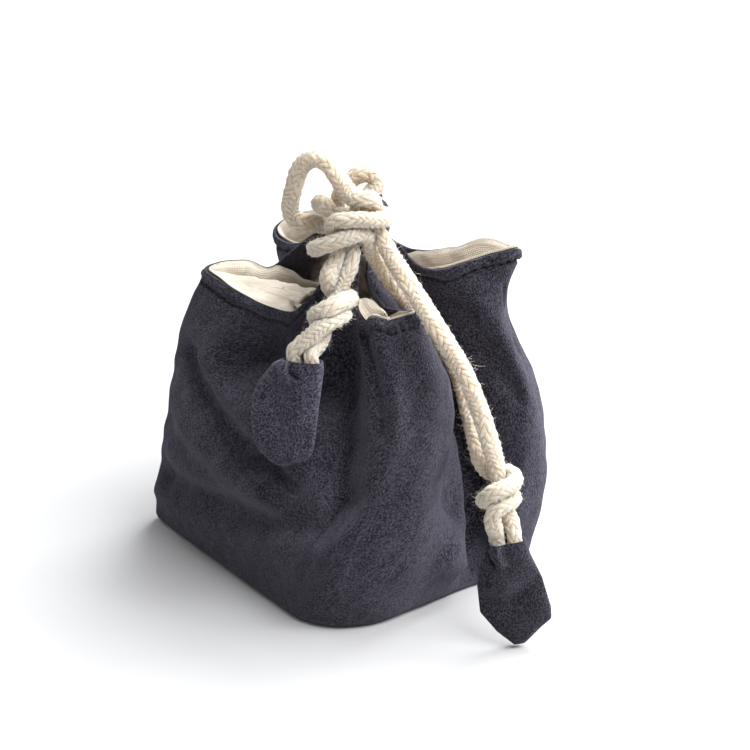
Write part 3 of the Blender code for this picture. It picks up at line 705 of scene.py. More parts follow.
# How the lining lies at places in folds, in millimetres: its mouth's drop under the outer
# bag's, less than 0 if it stands proud, then how far it bulges into the bag, and how far the
# bulge stands up. It fills the open folds and sinks where the cords gather the cloth.
LINING_LIES = (
    (0.0, -0.4, 1.5, 0.0), (1.0, -0.5, 1.5, 0.0), (1.8, -0.3, 1.0, 0.0), (2.2, 3.0, 0.5, 0.0),
    (2.6, 9.0, 0.0, 0.0), (3.0, 14.0, 0.0, 0.0), (4.0, 18.0, 0.0, 0.0), (4.8, 12.0, 0.0, 0.0),
    (5.4, 5.0, 0.0, 0.0), (5.9, 0.8, 0.0, 0.0), (6.3, -0.4, 1.0, 0.0), (7.2, -0.5, 3.0, 0.0),
    (8.0, -0.5, 1.0, 0.0), (9.0, -0.5, 2.5, 0.0), (9.8, -0.3, 2.0, 0.0), (10.4, 4.0, 0.0, 0.0),
    (11.0, 10.0, 0.0, 0.0), (11.6, 8.0, 0.0, 0.0), (12.3, 0.0, 0.5, 0.0), (13.0, -0.5, 2.0, 0.0),
    (14.0, -0.5, 2.0, 0.0), (14.8, -0.5, 1.0, 0.0), (15.2, 1.0, 0.0, 0.0), (15.6, 8.0, 0.0, 0.0),
    (16.0, 16.0, 0.0, 0.0), (16.6, 18.0, 0.0, 0.0), (16.85, 12.0, 1.0, 0.0), (17.0, 6.3, 3.0, 0.0),
    (17.25, 0.0, 5.0, 0.0), (17.6, -0.3, 6.0, 0.0), (18.2, -0.4, 5.0, 0.0), (18.8, -0.5, 3.0, 0.0),
    (19.1, -0.5, 1.0, 0.0), (19.4, -0.5, 5.0, 2.5), (19.8, 0.2, 10.0, 5.0), (20.3, 0.3, 17.0, 6.0),
    (20.8, 0.3, 20.0, 5.5), (21.2, 0.2, 18.0, 4.0), (21.5, 0.6, 12.0, 2.5), (21.8, 3.0, 4.0, 0.5),
    (22.1, 8.0, 1.0, 0.0), (22.5, 15.0, 0.0, 0.0), (23.0, 20.0, 0.0, 0.0), (23.3, 15.0, 0.0, 0.0),
    (23.55, 7.0, 1.0, 0.5), (23.75, 0.5, 5.0, 3.0), (24.0, -0.4, 8.0, 5.5), (24.25, -0.4, 9.0, 5.0),
    (24.5, -0.4, 6.0, 2.0), (24.8, -0.4, 3.5, 1.0), (25.0, -0.4, 1.5, 0.0),
)
# As shares of the height: the bulge's top and how far down it goes, where the drop starts, and
# how far under the mouth the ripples reach their full LINING_SLACK
BULGE_TOP = 0.93
BULGE_REACH = 0.22
DROP_FROM = 0.6
SLACK_GROWS = 0.06
LINING_SLACK = 0.00035
LINING_AROUND = 480
LOW_ROWS = 45


def lining_face(count, shares):
    """The lining's outer side: the creased wall, drawn in by the two cloths and moved.

    The drop grows with the square of the height above DROP_FROM. The bulge's profile is a
    quarter circle from the mouth down to BULGE_TOP, then a half cosine over BULGE_REACH.
    """
    moved, normals, around, up = creased_wall(count, shares)
    places, drops, bulges, lifts = np.array(LINING_LIES).T
    stations = even_stations(count)[0]
    drop, bulge, lift = (np.interp(stations, places, v) * MM for v in (drops, bulges, lifts))
    high = np.clip((shares - BULGE_TOP) / (1 - BULGE_TOP), 0, 1)
    low = np.clip((BULGE_TOP - shares) / BULGE_REACH, 0, 1)
    profile = np.sqrt(1 - high**2) * (0.5 + 0.5 * np.cos(math.pi * low))
    x, z = around / MM, up / MM
    folds = 1 + 0.04 * np.sin(1.05 * x + 0.2 * z) + 0.02 * np.sin(2.1 * x - 0.4 * z + 1)
    ripple = np.sin(0.45 * x + 0.3 * z) * np.sin(0.21 * x - 0.37 * z + 1)
    ripple += 0.6 * np.sin(0.9 * x - 0.25 * z + 2) * np.sin(0.55 * z + 0.3)
    edge = np.clip((1 - shares) / SLACK_GROWS, 0, 1)[:, None]
    inward = OUTER_CLOTH + CLOTH_GAP + LINING_SLACK * (1 + ripple) * edge
    moved = moved - normals * inward[..., None]
    level = unit(normals * np.array([1.0, 1.0, 0.0]))
    moved = moved - level * (bulge[None] * profile[:, None] * folds)[..., None]
    moved[..., 2] = np.maximum(moved[..., 2], OUTER_CLOTH + CLOTH_GAP)
    moved[..., 2] += lift[None] * profile[:, None]
    fallen = np.clip((shares - DROP_FROM) / (1 - DROP_FROM), 0, 1) ** 2
    moved[..., 2] -= drop[None] * fallen[:, None]
    return moved


lining_shares = np.concatenate(
    [np.linspace(0.0, 0.70, LOW_ROWS + 1)[:-1], np.linspace(0.70, 1.0, 80)]
)
hidden_face = lining_face(LINING_AROUND, lining_shares)
seen_face = hidden_face - normals_of(hidden_face) * LINING_CLOTH
seen_face[..., 2] = np.maximum(seen_face[..., 2], OUTER_CLOTH + CLOTH_GAP + LINING_CLOTH)
last_row = len(lining_shares) - 1
coarse = np.unique([*range(0, LOW_ROWS, 2), *range(LOW_ROWS, last_row, 2), last_row])
lining_rows = cloth_bag(hidden_face[coarse], seen_face, 3)
lining = closed_mesh("inner_bag", lining_rows, linen, laid_flat(lining_rows, girth))
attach(lining, "root")
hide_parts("lining")


# The cord loops: four narrow bands of the navy cotton, folded and sewn to the mouth edge. The
# cords run through them, one above the other.
CORD_DIAMETER = 0.0058
RING_SQUEEZE = 0.862
RING_CENTRE = (6.0, -3.5)
RING_RADIUS = 8.0
RING_HEIGHT = 113.3
RING_TILT = 1.3
RING_STEP = CORD_DIAMETER * RING_SQUEEZE / MM + 0.5
LOOP_TURNS = {"front": 3, "right": 56, "back": 140, "left": 195}
LOOP_WIDTH = 0.0036
LOOP_CLOTH = 0.0008
LOOP_CLEARANCE = 0.0008
LOOP_AROUND = 16
LOOP_LENGTH = 0.045
HALF_ROWS = 19


def ring_point(turn, lift):
    """A point of a cord's ring round the neck, in millimetres across, toward and up."""
    a = math.radians(turn)
    across = RING_CENTRE[0] + RING_RADIUS * math.sin(a)
    toward = RING_CENTRE[1] + RING_RADIUS * math.cos(a)
    return (across, toward, RING_HEIGHT + RING_TILT * math.cos(a) + lift, RING_SQUEEZE)


def blunted(wave, power):
    """A sine or cosine with its sign kept and its size raised to a power."""
    return np.sign(wave) * np.abs(wave) ** power


def cord_loop(name, turn):
    """A flat band round an upright stadium: half circles above and below two straight sides.

    Its section is a rounded bar, |x / half width|^5 + |y / half thickness|^2 = 1.
    """
    a = math.radians(turn)
    outward = unit(turned((math.sin(a), math.cos(a), 0.0)))
    sideways = np.cross(outward, (0.0, 0.0, 1.0))
    middle = turned(ring_point(turn, RING_STEP / 2)[:3])
    middle_radius = CORD_DIAMETER * RING_SQUEEZE / 2 + LOOP_CLEARANCE + LOOP_CLOTH / 2
    spokes = np.concatenate(
        [np.linspace(0, math.pi, HALF_ROWS), np.linspace(math.pi, 2 * math.pi, HALF_ROWS)]
    )
    lift = np.repeat([RING_STEP / 2 * MM, -RING_STEP / 2 * MM], HALF_ROWS)
    p = np.linspace(0, 2 * math.pi, LOOP_AROUND, endpoint=False)
    width = LOOP_WIDTH / 2 * blunted(np.cos(p), 0.4)
    radius = middle_radius + LOOP_CLOTH / 2 * np.sin(p)[None]
    rows = (
        middle
        + sideways * width[None, :, None]
        + outward * (radius * np.cos(spokes)[:, None])[..., None]
        + np.array([0, 0, 1.0]) * (radius * np.sin(spokes)[:, None] + lift[:, None])[..., None]
    )
    across = np.linspace(0, 2 * LOOP_WIDTH, LOOP_AROUND + 1)
    around = np.linspace(0, LOOP_LENGTH, len(spokes) + 1)
    return closed_mesh(name, rows, navy_cloth, np.stack(np.meshgrid(across, around), axis=-1))


for side, turn in LOOP_TURNS.items():
    band = cord_loop(f"loop_{side}", turn)
    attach(band, "root")
    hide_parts(f"cord_loop_{side}")


# The cords: cream cotton, each braided of sixteen plies, eight wound each way, that pass over
# two and under two of the others. Both ends of a cord go down into its tag.
CORD_END_SQUEEZE = 0.86
CORD_END_DEPTH = 0.0070
CORD_END_SPACING = 0.0004
PLIES = 8
BRAID_PITCH = 0.0175
PLY_RISE = 0.00066
# The share of a ply's rise that lies on the cord's own radius
PLY_LEVEL = 0.80
OUT_OF_ROUND = 0.04
CORD_CREAM = (0.98, 0.87, 0.72)
# The dark colour: stains and fibres, and painted shade in the grooves of the braid
CORD_STAIN_AND_SHADE = (0.50, 0.36, 0.25)

# Where each tag hangs: the middle of its top, the middle of its lower edge, which way its
# side runs, and how far its mouth is from the middle of its top, in millimetres
TAGS = {
    "left": ((-14.5, 40.5, 87.3), (-16.0, 47.3, 53.9), (1.0, 0.25, 0.0), 0.0048),
    "right": ((52.5, 58.2, 33.4), (57.0, 65.8, 1.2), (1.0, -0.1, 0.1), 0.0),
}

# Routes of the cords: (across, toward, up, thickness as a share of the free cord). The word
# "ring" stands for the stretch round the neck
LEFT_CORD = (
    (-4.7, 37.6, 91.0, 0.90), (-3.0, 33.4, 95.4, 0.86), (-1.2, 29.9, 98.9, 0.80),
    (0.5, 26.8, 102.6, 0.82), (2.3, 24.4, 106.2, 0.93), (4.3, 22.8, 110.0, 0.93),
    (5.2, 20.6, 114.0, 0.86), (5.0, 18.4, 117.8, 0.81), (5.1, 16.8, 121.4, 0.79),
    (6.0, 15.6, 125.0, 0.79), (7.8, 14.6, 128.0, 0.83), (10.2, 13.6, 130.4, 0.89),
    (12.3, 12.6, 132.3, 0.94), (12.9, 11.8, 134.2, 1.0), (11.6, 11.2, 135.7, 1.0),
    (9.4, 10.5, 136.0, 1.0), (6.2, 9.2, 134.4, 1.0), (3.4, 8.0, 131.2, 1.0),
    (1.4, 6.8, 127.4, 0.97), (0.7, 5.6, 123.8, 0.90), (2.0, 4.6, 120.9, 0.862),
    (4.2, 4.5, 120.1, 0.862),
    "ring",
    (-2.9, -1.6, 119.9, 0.90), (-4.0, 1.8, 121.8, 0.95), (-4.7, 5.6, 123.8, 1.0),
    (-4.2, 9.2, 125.4, 1.0), (-2.5, 12.0, 125.2, 0.91), (-0.6, 12.5, 123.5, 0.80),
    (2.4, 11.6, 122.9, 0.76), (6.5, 11.2, 122.9, 0.76), (10.5, 11.7, 123.3, 0.77),
    (14.0, 13.2, 124.0, 0.79), (16.1, 16.8, 124.6, 0.79), (15.5, 20.9, 125.2, 0.82),
    (12.0, 23.7, 126.0, 0.83), (8.0, 24.4, 126.5, 0.84), (4.0, 24.2, 126.2, 0.84),
    (0.8, 22.8, 125.4, 0.84), (-0.9, 21.0, 123.0, 0.81), (-0.4, 19.7, 119.8, 0.79),
    (0.4, 20.3, 116.4, 0.81), (0.9, 21.7, 113.2, 0.88), (-0.6, 23.2, 110.5, 0.95),
    (-1.9, 25.4, 107.8, 1.0), (-1.6, 25.3, 104.2, 0.90), (0.8, 22.3, 101.6, 0.84),
    (3.6, 23.8, 100.6, 0.90), (4.3, 28.7, 101.7, 0.98), (3.1, 33.2, 103.4, 1.0),
    (0.6, 37.0, 104.0, 1.0), (-2.6, 38.0, 102.4, 1.0), (-5.4, 35.5, 99.6, 0.96),
    (-6.2, 30.5, 96.3, 0.88), (-4.5, 27.6, 94.6, 0.83), (0.2, 28.0, 96.5, 0.83),
    (2.6, 33.0, 98.4, 0.86), (-0.6, 38.5, 99.0, 0.90), (-4.4, 40.4, 97.5, 0.93),
    (-8.2, 41.0, 94.0, 0.93),
)
RIGHT_CORD = (
    (54.3, 56.2, 38.4, 0.93), (53.1, 55.0, 41.6, 0.88), (51.3, 53.0, 46.7, 0.80),
    (50.0, 51.5, 52.2, 0.86), (49.0, 50.0, 57.3, 0.95), (47.5, 48.0, 62.1, 1.0),
    (45.5, 45.5, 68.1, 1.0), (42.8, 43.0, 75.1, 1.0), (39.4, 41.0, 82.9, 1.0),
    (35.1, 39.5, 90.4, 1.0), (29.2, 36.5, 99.1, 1.0), (24.1, 31.0, 105.3, 1.0),
    (20.4, 26.5, 109.6, 1.0), (17.3, 22.4, 113.2, 0.95), (15.3, 19.9, 116.2, 0.90),
    (13.8, 18.6, 119.4, 0.83), (11.7, 17.6, 122.8, 0.78), (10.9, 17.9, 126.3, 0.79),
    (12.1, 18.8, 129.1, 0.81), (11.4, 20.3, 131.1, 0.86), (8.7, 20.6, 131.6, 0.88),
    (5.8, 19.1, 131.5, 0.93), (3.4, 17.0, 133.2, 1.0), (1.1, 15.2, 136.0, 1.0),
    (-1.9, 12.7, 139.4, 1.0), (-6.2, 10.8, 141.1, 1.0), (-10.0, 9.2, 138.3, 1.0),
    (-11.9, 8.0, 134.1, 1.0), (-13.2, 7.0, 128.7, 1.0), (-14.2, 6.0, 123.6, 1.0),
    (-13.4, 5.0, 119.4, 1.0), (-10.3, 4.2, 117.2, 1.0), (-6.8, 2.9, 116.0, 0.97),
    (-3.9, 0.8, 114.3, 0.90), (-2.2, -2.6, 113.4, 0.862),
    "ring",
    (11.1, 5.6, 114.3, 0.83), (11.3, 9.2, 114.9, 0.83), (9.4, 12.2, 115.3, 0.83),
    (6.0, 13.3, 115.2, 0.80), (1.2, 13.5, 114.8, 0.81), (-3.4, 14.4, 114.0, 0.83),
    (-6.0, 17.0, 113.8, 0.86), (-6.1, 20.9, 115.2, 0.88), (-3.4, 24.0, 117.7, 0.86),
    (1.4, 25.3, 120.0, 0.84), (5.4, 24.8, 121.2, 0.84), (8.7, 22.5, 120.8, 0.83),
    (10.0, 19.8, 118.0, 0.81), (10.3, 17.8, 114.6, 0.83), (11.8, 16.6, 110.9, 0.90),
    (15.2, 17.2, 106.0, 0.95), (18.9, 17.0, 100.4, 0.95), (22.4, 15.9, 94.8, 0.95),
    (26.2, 14.6, 89.4, 0.95), (30.2, 13.8, 84.0, 0.95), (33.6, 14.1, 78.6, 0.95),
    (37.0, 16.3, 73.2, 0.95), (39.4, 20.4, 68.5, 0.95), (41.1, 26.0, 64.2, 1.0),
    (42.6, 32.6, 60.6, 1.0), (43.8, 39.4, 57.6, 1.0), (45.0, 45.2, 54.6, 0.95),
    (48.0, 48.0, 52.0, 0.90), (52.8, 49.0, 52.6, 0.86), (55.1, 53.0, 52.3, 0.86),
    (53.1, 58.0, 52.5, 0.90), (49.0, 60.0, 51.5, 0.93), (46.2, 57.0, 47.5, 0.90),
    (46.1, 51.5, 43.8, 0.86), (49.4, 48.5, 42.5, 0.83), (53.6, 50.5, 45.0, 0.83),
    (54.6, 55.0, 46.4, 0.86), (51.6, 60.0, 47.0, 0.90), (48.8, 61.0, 45.1, 0.90),
    (48.4, 60.0, 40.4, 0.93),
)
LEFT_RING = (4, 20, 38, 56, 79, 102, 121, 140, 160, 178, 195, 215, 238, 260)
RIGHT_RING = (-106, -126, -145, -165, -182, -200, -220, -240, -262, -284, -304, -318)


def tag_frame(side):
    """The middle of a tag's top, its directions down, sideways and out, and its length."""
    top, tip, sideways = (turned(point) for point in TAGS[side][:3])
    length = np.linalg.norm(tip - top)
    down = (tip - top) / length
    sideways = unit(sideways - down * (sideways @ down))
    return top, down, sideways, np.cross(down, sideways), length


def cord_end(side, turn):
    """A cord's end in a tag: its point in the pocket, in the mouth and just above it."""
    top, down, sideways, _, _ = tag_frame(side)
    radius = CORD_DIAMETER * CORD_END_SQUEEZE / 2
    lip = top + sideways * (TAGS[side][3] + turn * (radius + CORD_END_SPACING / 2))
    places = np.stack([lip + down * CORD_END_DEPTH, lip, lip - down * radius])
    return np.column_stack([places, np.full(3, CORD_END_SQUEEZE)])


def distance_along(line):
    """How far along a line each of its points is."""
    return running_sum(np.linalg.norm(np.diff(line, axis=0), axis=1))


def natural_spline(points, spacing):
    """The smooth curve through the points, read at even steps of about the spacing given.

    It is a natural cubic spline whose knots are apart by the square root of the distance.
    """
    steps = np.linalg.norm(np.diff(points[:, :3], axis=0), axis=1) ** 0.5
    knots = running_sum(steps)
    gaps = np.diff(knots)[:, None]
    slopes = np.diff(points, axis=0) / gaps
    size = len(points)
    system = np.eye(size)
    inner = np.arange(1, size - 1)
    system[inner, inner - 1] = gaps[:-1, 0]
    system[inner, inner] = 2 * (gaps[:-1, 0] + gaps[1:, 0])
    system[inner, inner + 1] = gaps[1:, 0]
    bend = np.zeros_like(points)
    bend[1:-1] = 6 * np.diff(slopes, axis=0)
    moment = np.linalg.solve(system, bend)
    fine = np.linspace(0.0, knots[-1], 60 * size)
    left = np.clip(np.searchsorted(knots, fine, side="right") - 1, 0, size - 2)
    span = gaps[left]
    after = (knots[left + 1] - fine)[:, None]
    before = (fine - knots[left])[:, None]
    curve = (
        (moment[left] * after**3 + moment[left + 1] * before**3) / (6 * span)
        + (points[left] / span - moment[left] * span / 6) * after
        + (points[left + 1] / span - moment[left + 1] * span / 6) * before
    )
    along = distance_along(curve[:, :3])
    even = np.linspace(0.0, along[-1], int(along[-1] / spacing))
    return np.stack([np.interp(even, along, column) for column in curve.T], axis=1), along[-1]


def cord_route(route, tag, turns, lift, spacing):
    """A cord's centreline and thickness, from one end in the tag to the other."""
    steps = []
    for step in route:
        steps += [ring_point(turn, lift) for turn in turns] if step == "ring" else [step]
    steps = np.array(steps, float)
    points = np.column_stack([turned(steps[:, :3]), steps[:, 3]])
    points = np.concatenate([cord_end(tag, 1), points, cord_end(tag, -1)[::-1]])
    return natural_spline(points, spacing)


FIRST_ACROSS = (0.3, 0.5, 0.81)


def carried_frames(line):
    """Two directions across a line at each point, carried along it without twist.

    At each point the last direction is laid square to the tangent there.
    """
    tangent = unit(np.gradient(line, axis=0))
    across = np.empty_like(line)
    across[0] = unit(np.cross(tangent[0], FIRST_ACROSS))
    for i in range(1, len(line)):
        across[i] = unit(across[i - 1] - tangent[i] * (across[i - 1] @ tangent[i]))
    return across, np.cross(tangent, across)


def braid_height(turn, along):
    """How far the braid's surface rises, 0 in its grooves to 1 on its plies, at a turn round
    the cord from 0 to 1 and a distance along it in pitches.

    a and b count the plies wound each way. A ply of one way lies on top where floor(a) +
    floor(b) is 0 or 1 in fours, else one of the other way. Across a ply the rise is a half
    circle, and along it a half wave over its two crossings.
    """
    a = PLIES * (turn + along)
    b = PLIES * (turn - along)
    phase = (np.floor(a) + np.floor(b)) % 4
    on_top = phase < 2
    across = np.where(on_top, a % 1, b % 1)
    near = np.where(on_top, b % 1, a % 1)
    b_start = np.where(on_top, (phase == 1).astype(float), (phase == 3).astype(float))
    run = (near + b_start) / 2
    dome = np.sqrt(np.clip(1 - (2 * across - 1) ** 2, 0, 1))
    uneven = 0.16 * np.sin(2.4 * np.floor(a) + 0.9 * np.floor(b / 2))
    return dome * (0.55 + 0.45 * np.sin(math.pi * run) + uneven)


def braided_cotton(name):
    """Cream cotton plies: fine fibres along each ply, with painted shade where the plies meet.

    The plies are counted as in braid_height. The fibres are noise drawn out along a ply, the
    yarns are sine waves across it, and fuzz is noise through the whole cord.
    """
    finish, add, maths, cover = new_finish(
        name, 0.85, Sheen_Weight=0.5, Sheen_Tint=(1.0, 0.95, 0.86, 1.0), Specular_IOR_Level=0.2,
        Subsurface_Weight=0.9, Subsurface_Scale=0.0035, Subsurface_Radius=(1.0, 0.85, 0.65),
    )
    cloth = add("UVMap", uv_map="cloth")
    turn, along = (add("SeparateXYZ", out=axis, Vector=cloth) for axis in "XY")
    a = maths("MULTIPLY", maths("ADD", turn, along), float(PLIES))
    b = maths("MULTIPLY", maths("SUBTRACT", turn, along), float(PLIES))
    phase = maths("FLOORED_MODULO", maths("ADD", maths("FLOOR", a), maths("FLOOR", b)), 4.0)
    other = maths("GREATER_THAN", phase, 1.5)
    across = add("Mix", data_type="FLOAT", _0=other, _2=a, _3=b)
    near = add("Mix", data_type="FLOAT", _0=other, _2=b, _3=a)
    slanted = maths("MULTIPLY_ADD", near, 0.35, across)
    fibre_space = add(
        "CombineXYZ", X=maths("MULTIPLY", slanted, 14.0), Y=maths("MULTIPLY", near, 1.1),
        Z=maths("MULTIPLY", other, 7.0),
    )
    fibres = add("TexNoise", Vector=fibre_space, Scale=1.0, Detail=3.0)
    wander = maths("MULTIPLY_ADD", fibres, 1.3, maths("MULTIPLY", slanted, 4.0))
    yarns = maths("ABSOLUTE", maths("SINE", maths("MULTIPLY", wander, math.pi)))
    where = add("TexCoord", out="Object")
    fuzz = add("TexNoise", Vector=where, Scale=1300.0, Detail=4.0, Roughness=0.8)
    edge = maths("ABSOLUTE", maths("MULTIPLY_ADD", maths("FRACT", across), 2.0, -1.0))
    crossing = maths("FLOOR", maths("MULTIPLY", near, 0.5))
    ply_place = add("CombineXYZ", X=maths("FLOOR", across), Y=other, Z=crossing)
    stain = add("TexNoise", Vector=ply_place, Scale=3.7, Detail=1.0)
    tone = maths("MULTIPLY_ADD", fibres, 0.9, maths("MULTIPLY", stain, 0.5))
    shade = 1.0
    # Fibres, stains and fuzz are the cord's own tone; edge and yarns paint shade into the grooves
    # where plies meet and between yarns
    for value, low, high, at_low, at_high in (
        (tone, 0.25, 0.62, 0.40, 1.0),
        (edge, 0.75, 1.0, 1.0, 0.0),
        (yarns, 0.0, 0.4, 0.5, 1.0),
        (fuzz, 0.38, 0.56, 0.7, 1.0),
    ):
        part = add("MapRange", Value=value, _1=low, _2=high, _3=at_low, _4=at_high)
        shade = maths("MULTIPLY", part, shade)
    dark, light = (*CORD_STAIN_AND_SHADE, 1.0), (*CORD_CREAM, 1.0)
    colour = add("Mix", out=2, data_type="RGBA", _0=shade, _6=dark, _7=light)
    relief = maths("MULTIPLY_ADD", fibres, 0.6, maths("MULTIPLY", yarns, 0.4))
    cover(colour, maths("ADD", relief, fuzz), 0.0009)
    return finish


CORD_AROUND = 56
CORD_STEP = 0.00036
cord_finish = braided_cotton("cream_braided_cotton")


def braided_cord(name, line, share):
    """A tube round the centreline, with the braid's plies raised on it.

    The braid is worked unevenly: its pitch stretches by a sine of 17 mm, and its plies creep
    round the cord by two sines of 43 and 24 mm. The section is a little out of round.
    """
    across, second = carried_frames(line)
    turn = np.arange(CORD_AROUND) / CORD_AROUND
    steps = distance_along(line)
    wave = 2 * math.pi * steps
    along = steps / BRAID_PITCH + 0.07 * np.sin(wave / 0.017)
    creep = 0.07 * np.sin(wave / 0.043) + 0.05 * np.sin(wave / 0.024 + 1)
    rise = braid_height(turn[None], along[:, None])
    radius = CORD_DIAMETER / 2 * share[:, None] + PLY_RISE * (rise - PLY_LEVEL)
    angle = 2 * math.pi * (turn[None] + creep[:, None])
    radius = radius * (1 + OUT_OF_ROUND * np.sin(2 * angle + steps[:, None] / 0.009))
    spoke = (
        across[:, None] * np.cos(angle)[..., None]
        + second[:, None] * np.sin(angle)[..., None]
    )
    rows = line[:, None] + spoke * radius[..., None]
    uv = np.stack(np.meshgrid(np.linspace(0, 1, CORD_AROUND + 1), along), axis=-1)
    return closed_mesh(name, rows, cord_finish, uv)


# In metres of cord to a fibre, its thickness, its root's depth and the scale of its reach. The
# cord's first and last points, in its tag, have none
FIBRE_EVERY = 0.00018
FIBRE_THICK = 0.00006
FIBRE_ROOT = 0.0002
FIBRE_REACH = 0.00025
END_POINTS = 40
rng = np.random.default_rng(4)


def stray_fibres(name, line, share, finish):
    """Short curved fibres that stand off a cord: each a three-sided bar of three stretches.

    A fibre's middle line at s from 0 to 1 is root + out s^0.6 + along s + side s^2, each by its
    own random length.
    """
    count = int(distance_along(line)[-1] / FIBRE_EVERY)
    at = rng.integers(END_POINTS, len(line) - END_POINTS, count)
    across, second = carried_frames(line)
    along = unit(np.gradient(line, axis=0))
    angle = rng.uniform(0, 2 * math.pi, count)[:, None]
    out = across[at] * np.cos(angle) + second[at] * np.sin(angle)
    side = np.cross(along[at], out)
    root = line[at] + out * (CORD_DIAMETER / 2 * share[at] - FIBRE_ROOT)[:, None]
    reach = rng.gamma(3.0, FIBRE_REACH, count)[:, None]
    lean = rng.normal(0, 1.0, (count, 1)) * reach
    curl = rng.normal(0, 1.1, (count, 1)) * reach
    s = np.linspace(0, 1, 4)[:, None, None]
    middle = root + out * (FIBRE_ROOT + reach * s**0.6) + along[at] * lean * s + side * curl * s**2
    t = np.arange(3)[None, :, None] * 2 * math.pi / 3
    ring = along[at][:, None] * np.cos(t) + side[:, None] * np.sin(t)
    thick = FIBRE_THICK / 2 * np.array([1.0, 1.0, 0.8, 0.4])[None, :, None, None]
    bars = middle.transpose(1, 0, 2)[:, :, None] + ring[:, None] * thick
    return bars_mesh(name, bars, finish, False)


stray, *_ = new_finish("stray_cotton", 0.8, Sheen_Weight=0.4, Base_Color=(*CORD_CREAM, 1.0))

for side, route, turns, lift in (
    ("left", LEFT_CORD, LEFT_RING, RING_STEP),
    ("right", RIGHT_CORD, RIGHT_RING, 0.0),
):
    curve, length = cord_route(route, side, turns, lift, CORD_STEP)
    cord = braided_cord(f"braided_cord_{side}", curve[:, :3], curve[:, 3])
    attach(cord, "root")
    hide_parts(f"cord_{side}")
    fibres = stray_fibres(f"cord_fibres_{side}", curve[:, :3], curve[:, 3], stray)
    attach(fibres, "root")


# The tags: a folded piece of the navy cotton on the ends of each cord, padded, sewn shut round
# its sides, with the cords' ends caught in its mouth.
TAG_CLOTH = 0.0008
TAG_BELLY = 0.0003
TAG_FOOT = 0.0021
TAG_AROUND = 240
TAG_BLUNT = 2.6
PIECE_GAP = 0.0003
# Painted light and shade: the left tag's cloth is painted lighter, the right one's darker
TAG_PAINTED_LIGHT = {"left": 1.5, "right": 0.65}
# The two sides of each tag: share of its length, and millimetres from its middle line
TAG_SIDES = {
    "left": (
        (
            (0.0, -1.5), (0.05, -4.4), (0.20, -8.2), (0.35, -10.4), (0.56, -11.0),
            (0.80, -9.8), (0.90, -7.4), (1.0, -2.2),
        ),
        (
            (0.0, 11.1), (0.07, 11.5), (0.32, 10.7), (0.64, 9.8), (0.83, 9.2), (0.91, 8.0),
            (1.0, 0.8),
        ),
    ),
    "right": (
        (
            (0.0, -6.3), (0.06, -7.0), (0.20, -9.4), (0.38, -10.6), (0.64, -10.8),
            (0.85, -6.4), (1.0, -1.6),
        ),
        (
            (0.0, 6.3), (0.15, 7.0), (0.39, 9.7), (0.69, 11.3), (0.80, 11.0), (0.87, 7.3),
            (1.0, 1.6),
        ),
    ),
}
# Its tucks and soft creases: depth and half width in millimetres, and a path of (share of the
# length, millimetres from the middle line)
TAG_CREASES = {
    "left": (
        (-1.8, 0.62, ((0.0, 1.9), (0.05, 1.7), (0.10, 1.2), (0.13, 2.6), (0.15, 4.2))),
        (1.6, 1.5, ((0.0, 0.0), (0.08, -0.6), (0.16, 0.6))),
        (-1.3, 4.5, ((0.30, -1.0), (0.62, -2.5))),
        (0.9, 3.0, ((0.22, 4.5), (0.55, 4.0), (0.85, 2.0))),
        (-0.9, 2.5, ((0.90, -6.0), (0.70, 6.0))),
    ),
    "right": (
        (-1.8, 0.62, ((0.0, -5.4), (0.07, -6.1), (0.13, -5.9), (0.18, -4.8))),
        (1.6, 1.5, ((0.0, -3.6), (0.09, -4.3), (0.17, -3.2))),
        (-2.1, 4.0, ((0.54, -10.0), (0.60, -3.0), (0.51, 2.0), (0.42, 8.0))),
        (0.7, 4.0, ((0.34, -7.0), (0.40, -2.0))),
        (0.5, 3.5, ((0.72, -6.0), (0.66, 4.0), (0.62, 9.0))),
    ),
}
# How far down its length a tag's rows lie. It thins from its mouth to its foot over the share
# from THIN_FROM, and its foot is rounded off from FOOT_FROM
TAG_ROWS = np.concatenate(
    [[0.0, 0.003, 0.008, 0.015], np.linspace(0.022, 0.90, 104), np.linspace(0.905, 1.0, 24)]
)
THIN_FROM = 0.15
THIN_OVER = 0.75
FOOT_FROM = 0.93
FOOT_OVER = 0.072


def tag_edge(side, which):
    """How far a tag's edge is from its middle line, down its rows, with its corners eased."""
    read = np.interp(TAG_ROWS, *np.array(TAG_SIDES[side][which]).T)
    kernel = np.array([1, 2, 3, 2, 1]) / 9
    return np.convolve(np.pad(read, 2, mode="edge"), kernel, "valid") * MM


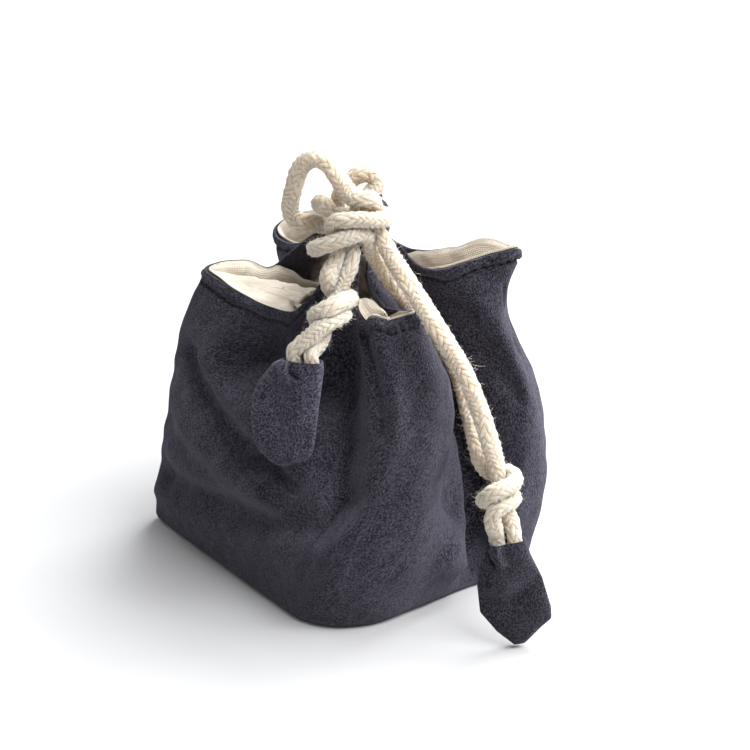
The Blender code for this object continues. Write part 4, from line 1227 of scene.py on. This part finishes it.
def tag(name, side):
    """A flattened sock: oval rows down the outside from its mouth, and down into its pocket.

    A row is |x / half width|^2.6 + |y / half thickness|^2.6 = 1 between the two sides. Its
    front is moved outward by its creases, each its depth times bell.
    """
    top, down, sideways, outward, length = tag_frame(side)
    shift = TAGS[side][3]
    end_radius = CORD_DIAMETER * CORD_END_SQUEEZE / 2
    pocket_half = 2 * end_radius + CORD_END_SPACING / 2 + PIECE_GAP
    pocket_thick = end_radius + PIECE_GAP
    pocket = np.array([CORD_END_DEPTH + PIECE_GAP, 0.003, 0.001, 0.0004]) / length

    def after_pocket(inside, outside):
        """One value for the rows in the pocket, then the values of the rows outside it."""
        return np.concatenate([np.full(len(pocket), inside), outside])

    flat = np.clip((TAG_ROWS - THIN_FROM) / THIN_OVER, 0, 1)
    flat = flat * flat * (3 - 2 * flat)
    belly = pocket_thick + TAG_CLOTH + TAG_BELLY * np.sin(math.pi * TAG_ROWS)
    thick = belly * (1 - flat) + TAG_FOOT * flat
    foot = np.clip(TAG_ROWS - FOOT_FROM, 0, 1) / FOOT_OVER
    thick *= np.sqrt(np.clip(1 - foot**2, 0.02, 1))
    thick = after_pocket(pocket_thick, thick)[:, None]
    left = after_pocket(shift - pocket_half, tag_edge(side, 0))[:, None]
    right = after_pocket(shift + pocket_half, tag_edge(side, 1))[:, None]
    a = np.linspace(0, 2 * math.pi, TAG_AROUND, endpoint=False)
    x, y = blunted(np.cos(a), 2 / TAG_BLUNT), blunted(np.sin(a), 2 / TAG_BLUNT)
    centre, reach = (right + left) / 2, (right - left) / 2
    across = centre + reach * x
    out = thick * y
    rows_down = np.concatenate([pocket, TAG_ROWS])[:, None] * length
    fallen = np.repeat(rows_down, TAG_AROUND, axis=1)
    for depth, half, path in TAG_CREASES[side]:
        shares_down, places = np.array(path).T
        distance = near_path(across, fallen, list(zip(places * MM, shares_down * length)), 1.0)
        bend = depth * MM * bell(distance, half * MM)
        bend[: len(pocket)] = 0
        out = out + bend * np.clip(y, 0, 1)
    rows = top + down * fallen[..., None] + sideways * across[..., None] + outward * out[..., None]
    turn = np.append(a, 2 * math.pi)
    x = np.append(x, 1.0)
    round_it = np.where(turn <= math.pi, -x, 2 + x) * reach
    uv = np.stack(np.broadcast_arrays(round_it, rows_down), axis=-1)
    cloth = brushed_cotton(f"navy_cotton_tag_{side}", TAG_PAINTED_LIGHT[side])
    return closed_mesh(name, rows, cloth, uv)


for side in TAGS:
    pad = tag(f"padded_tag_{side}", side)
    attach(pad, "root")
    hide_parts(f"tab_{side}")
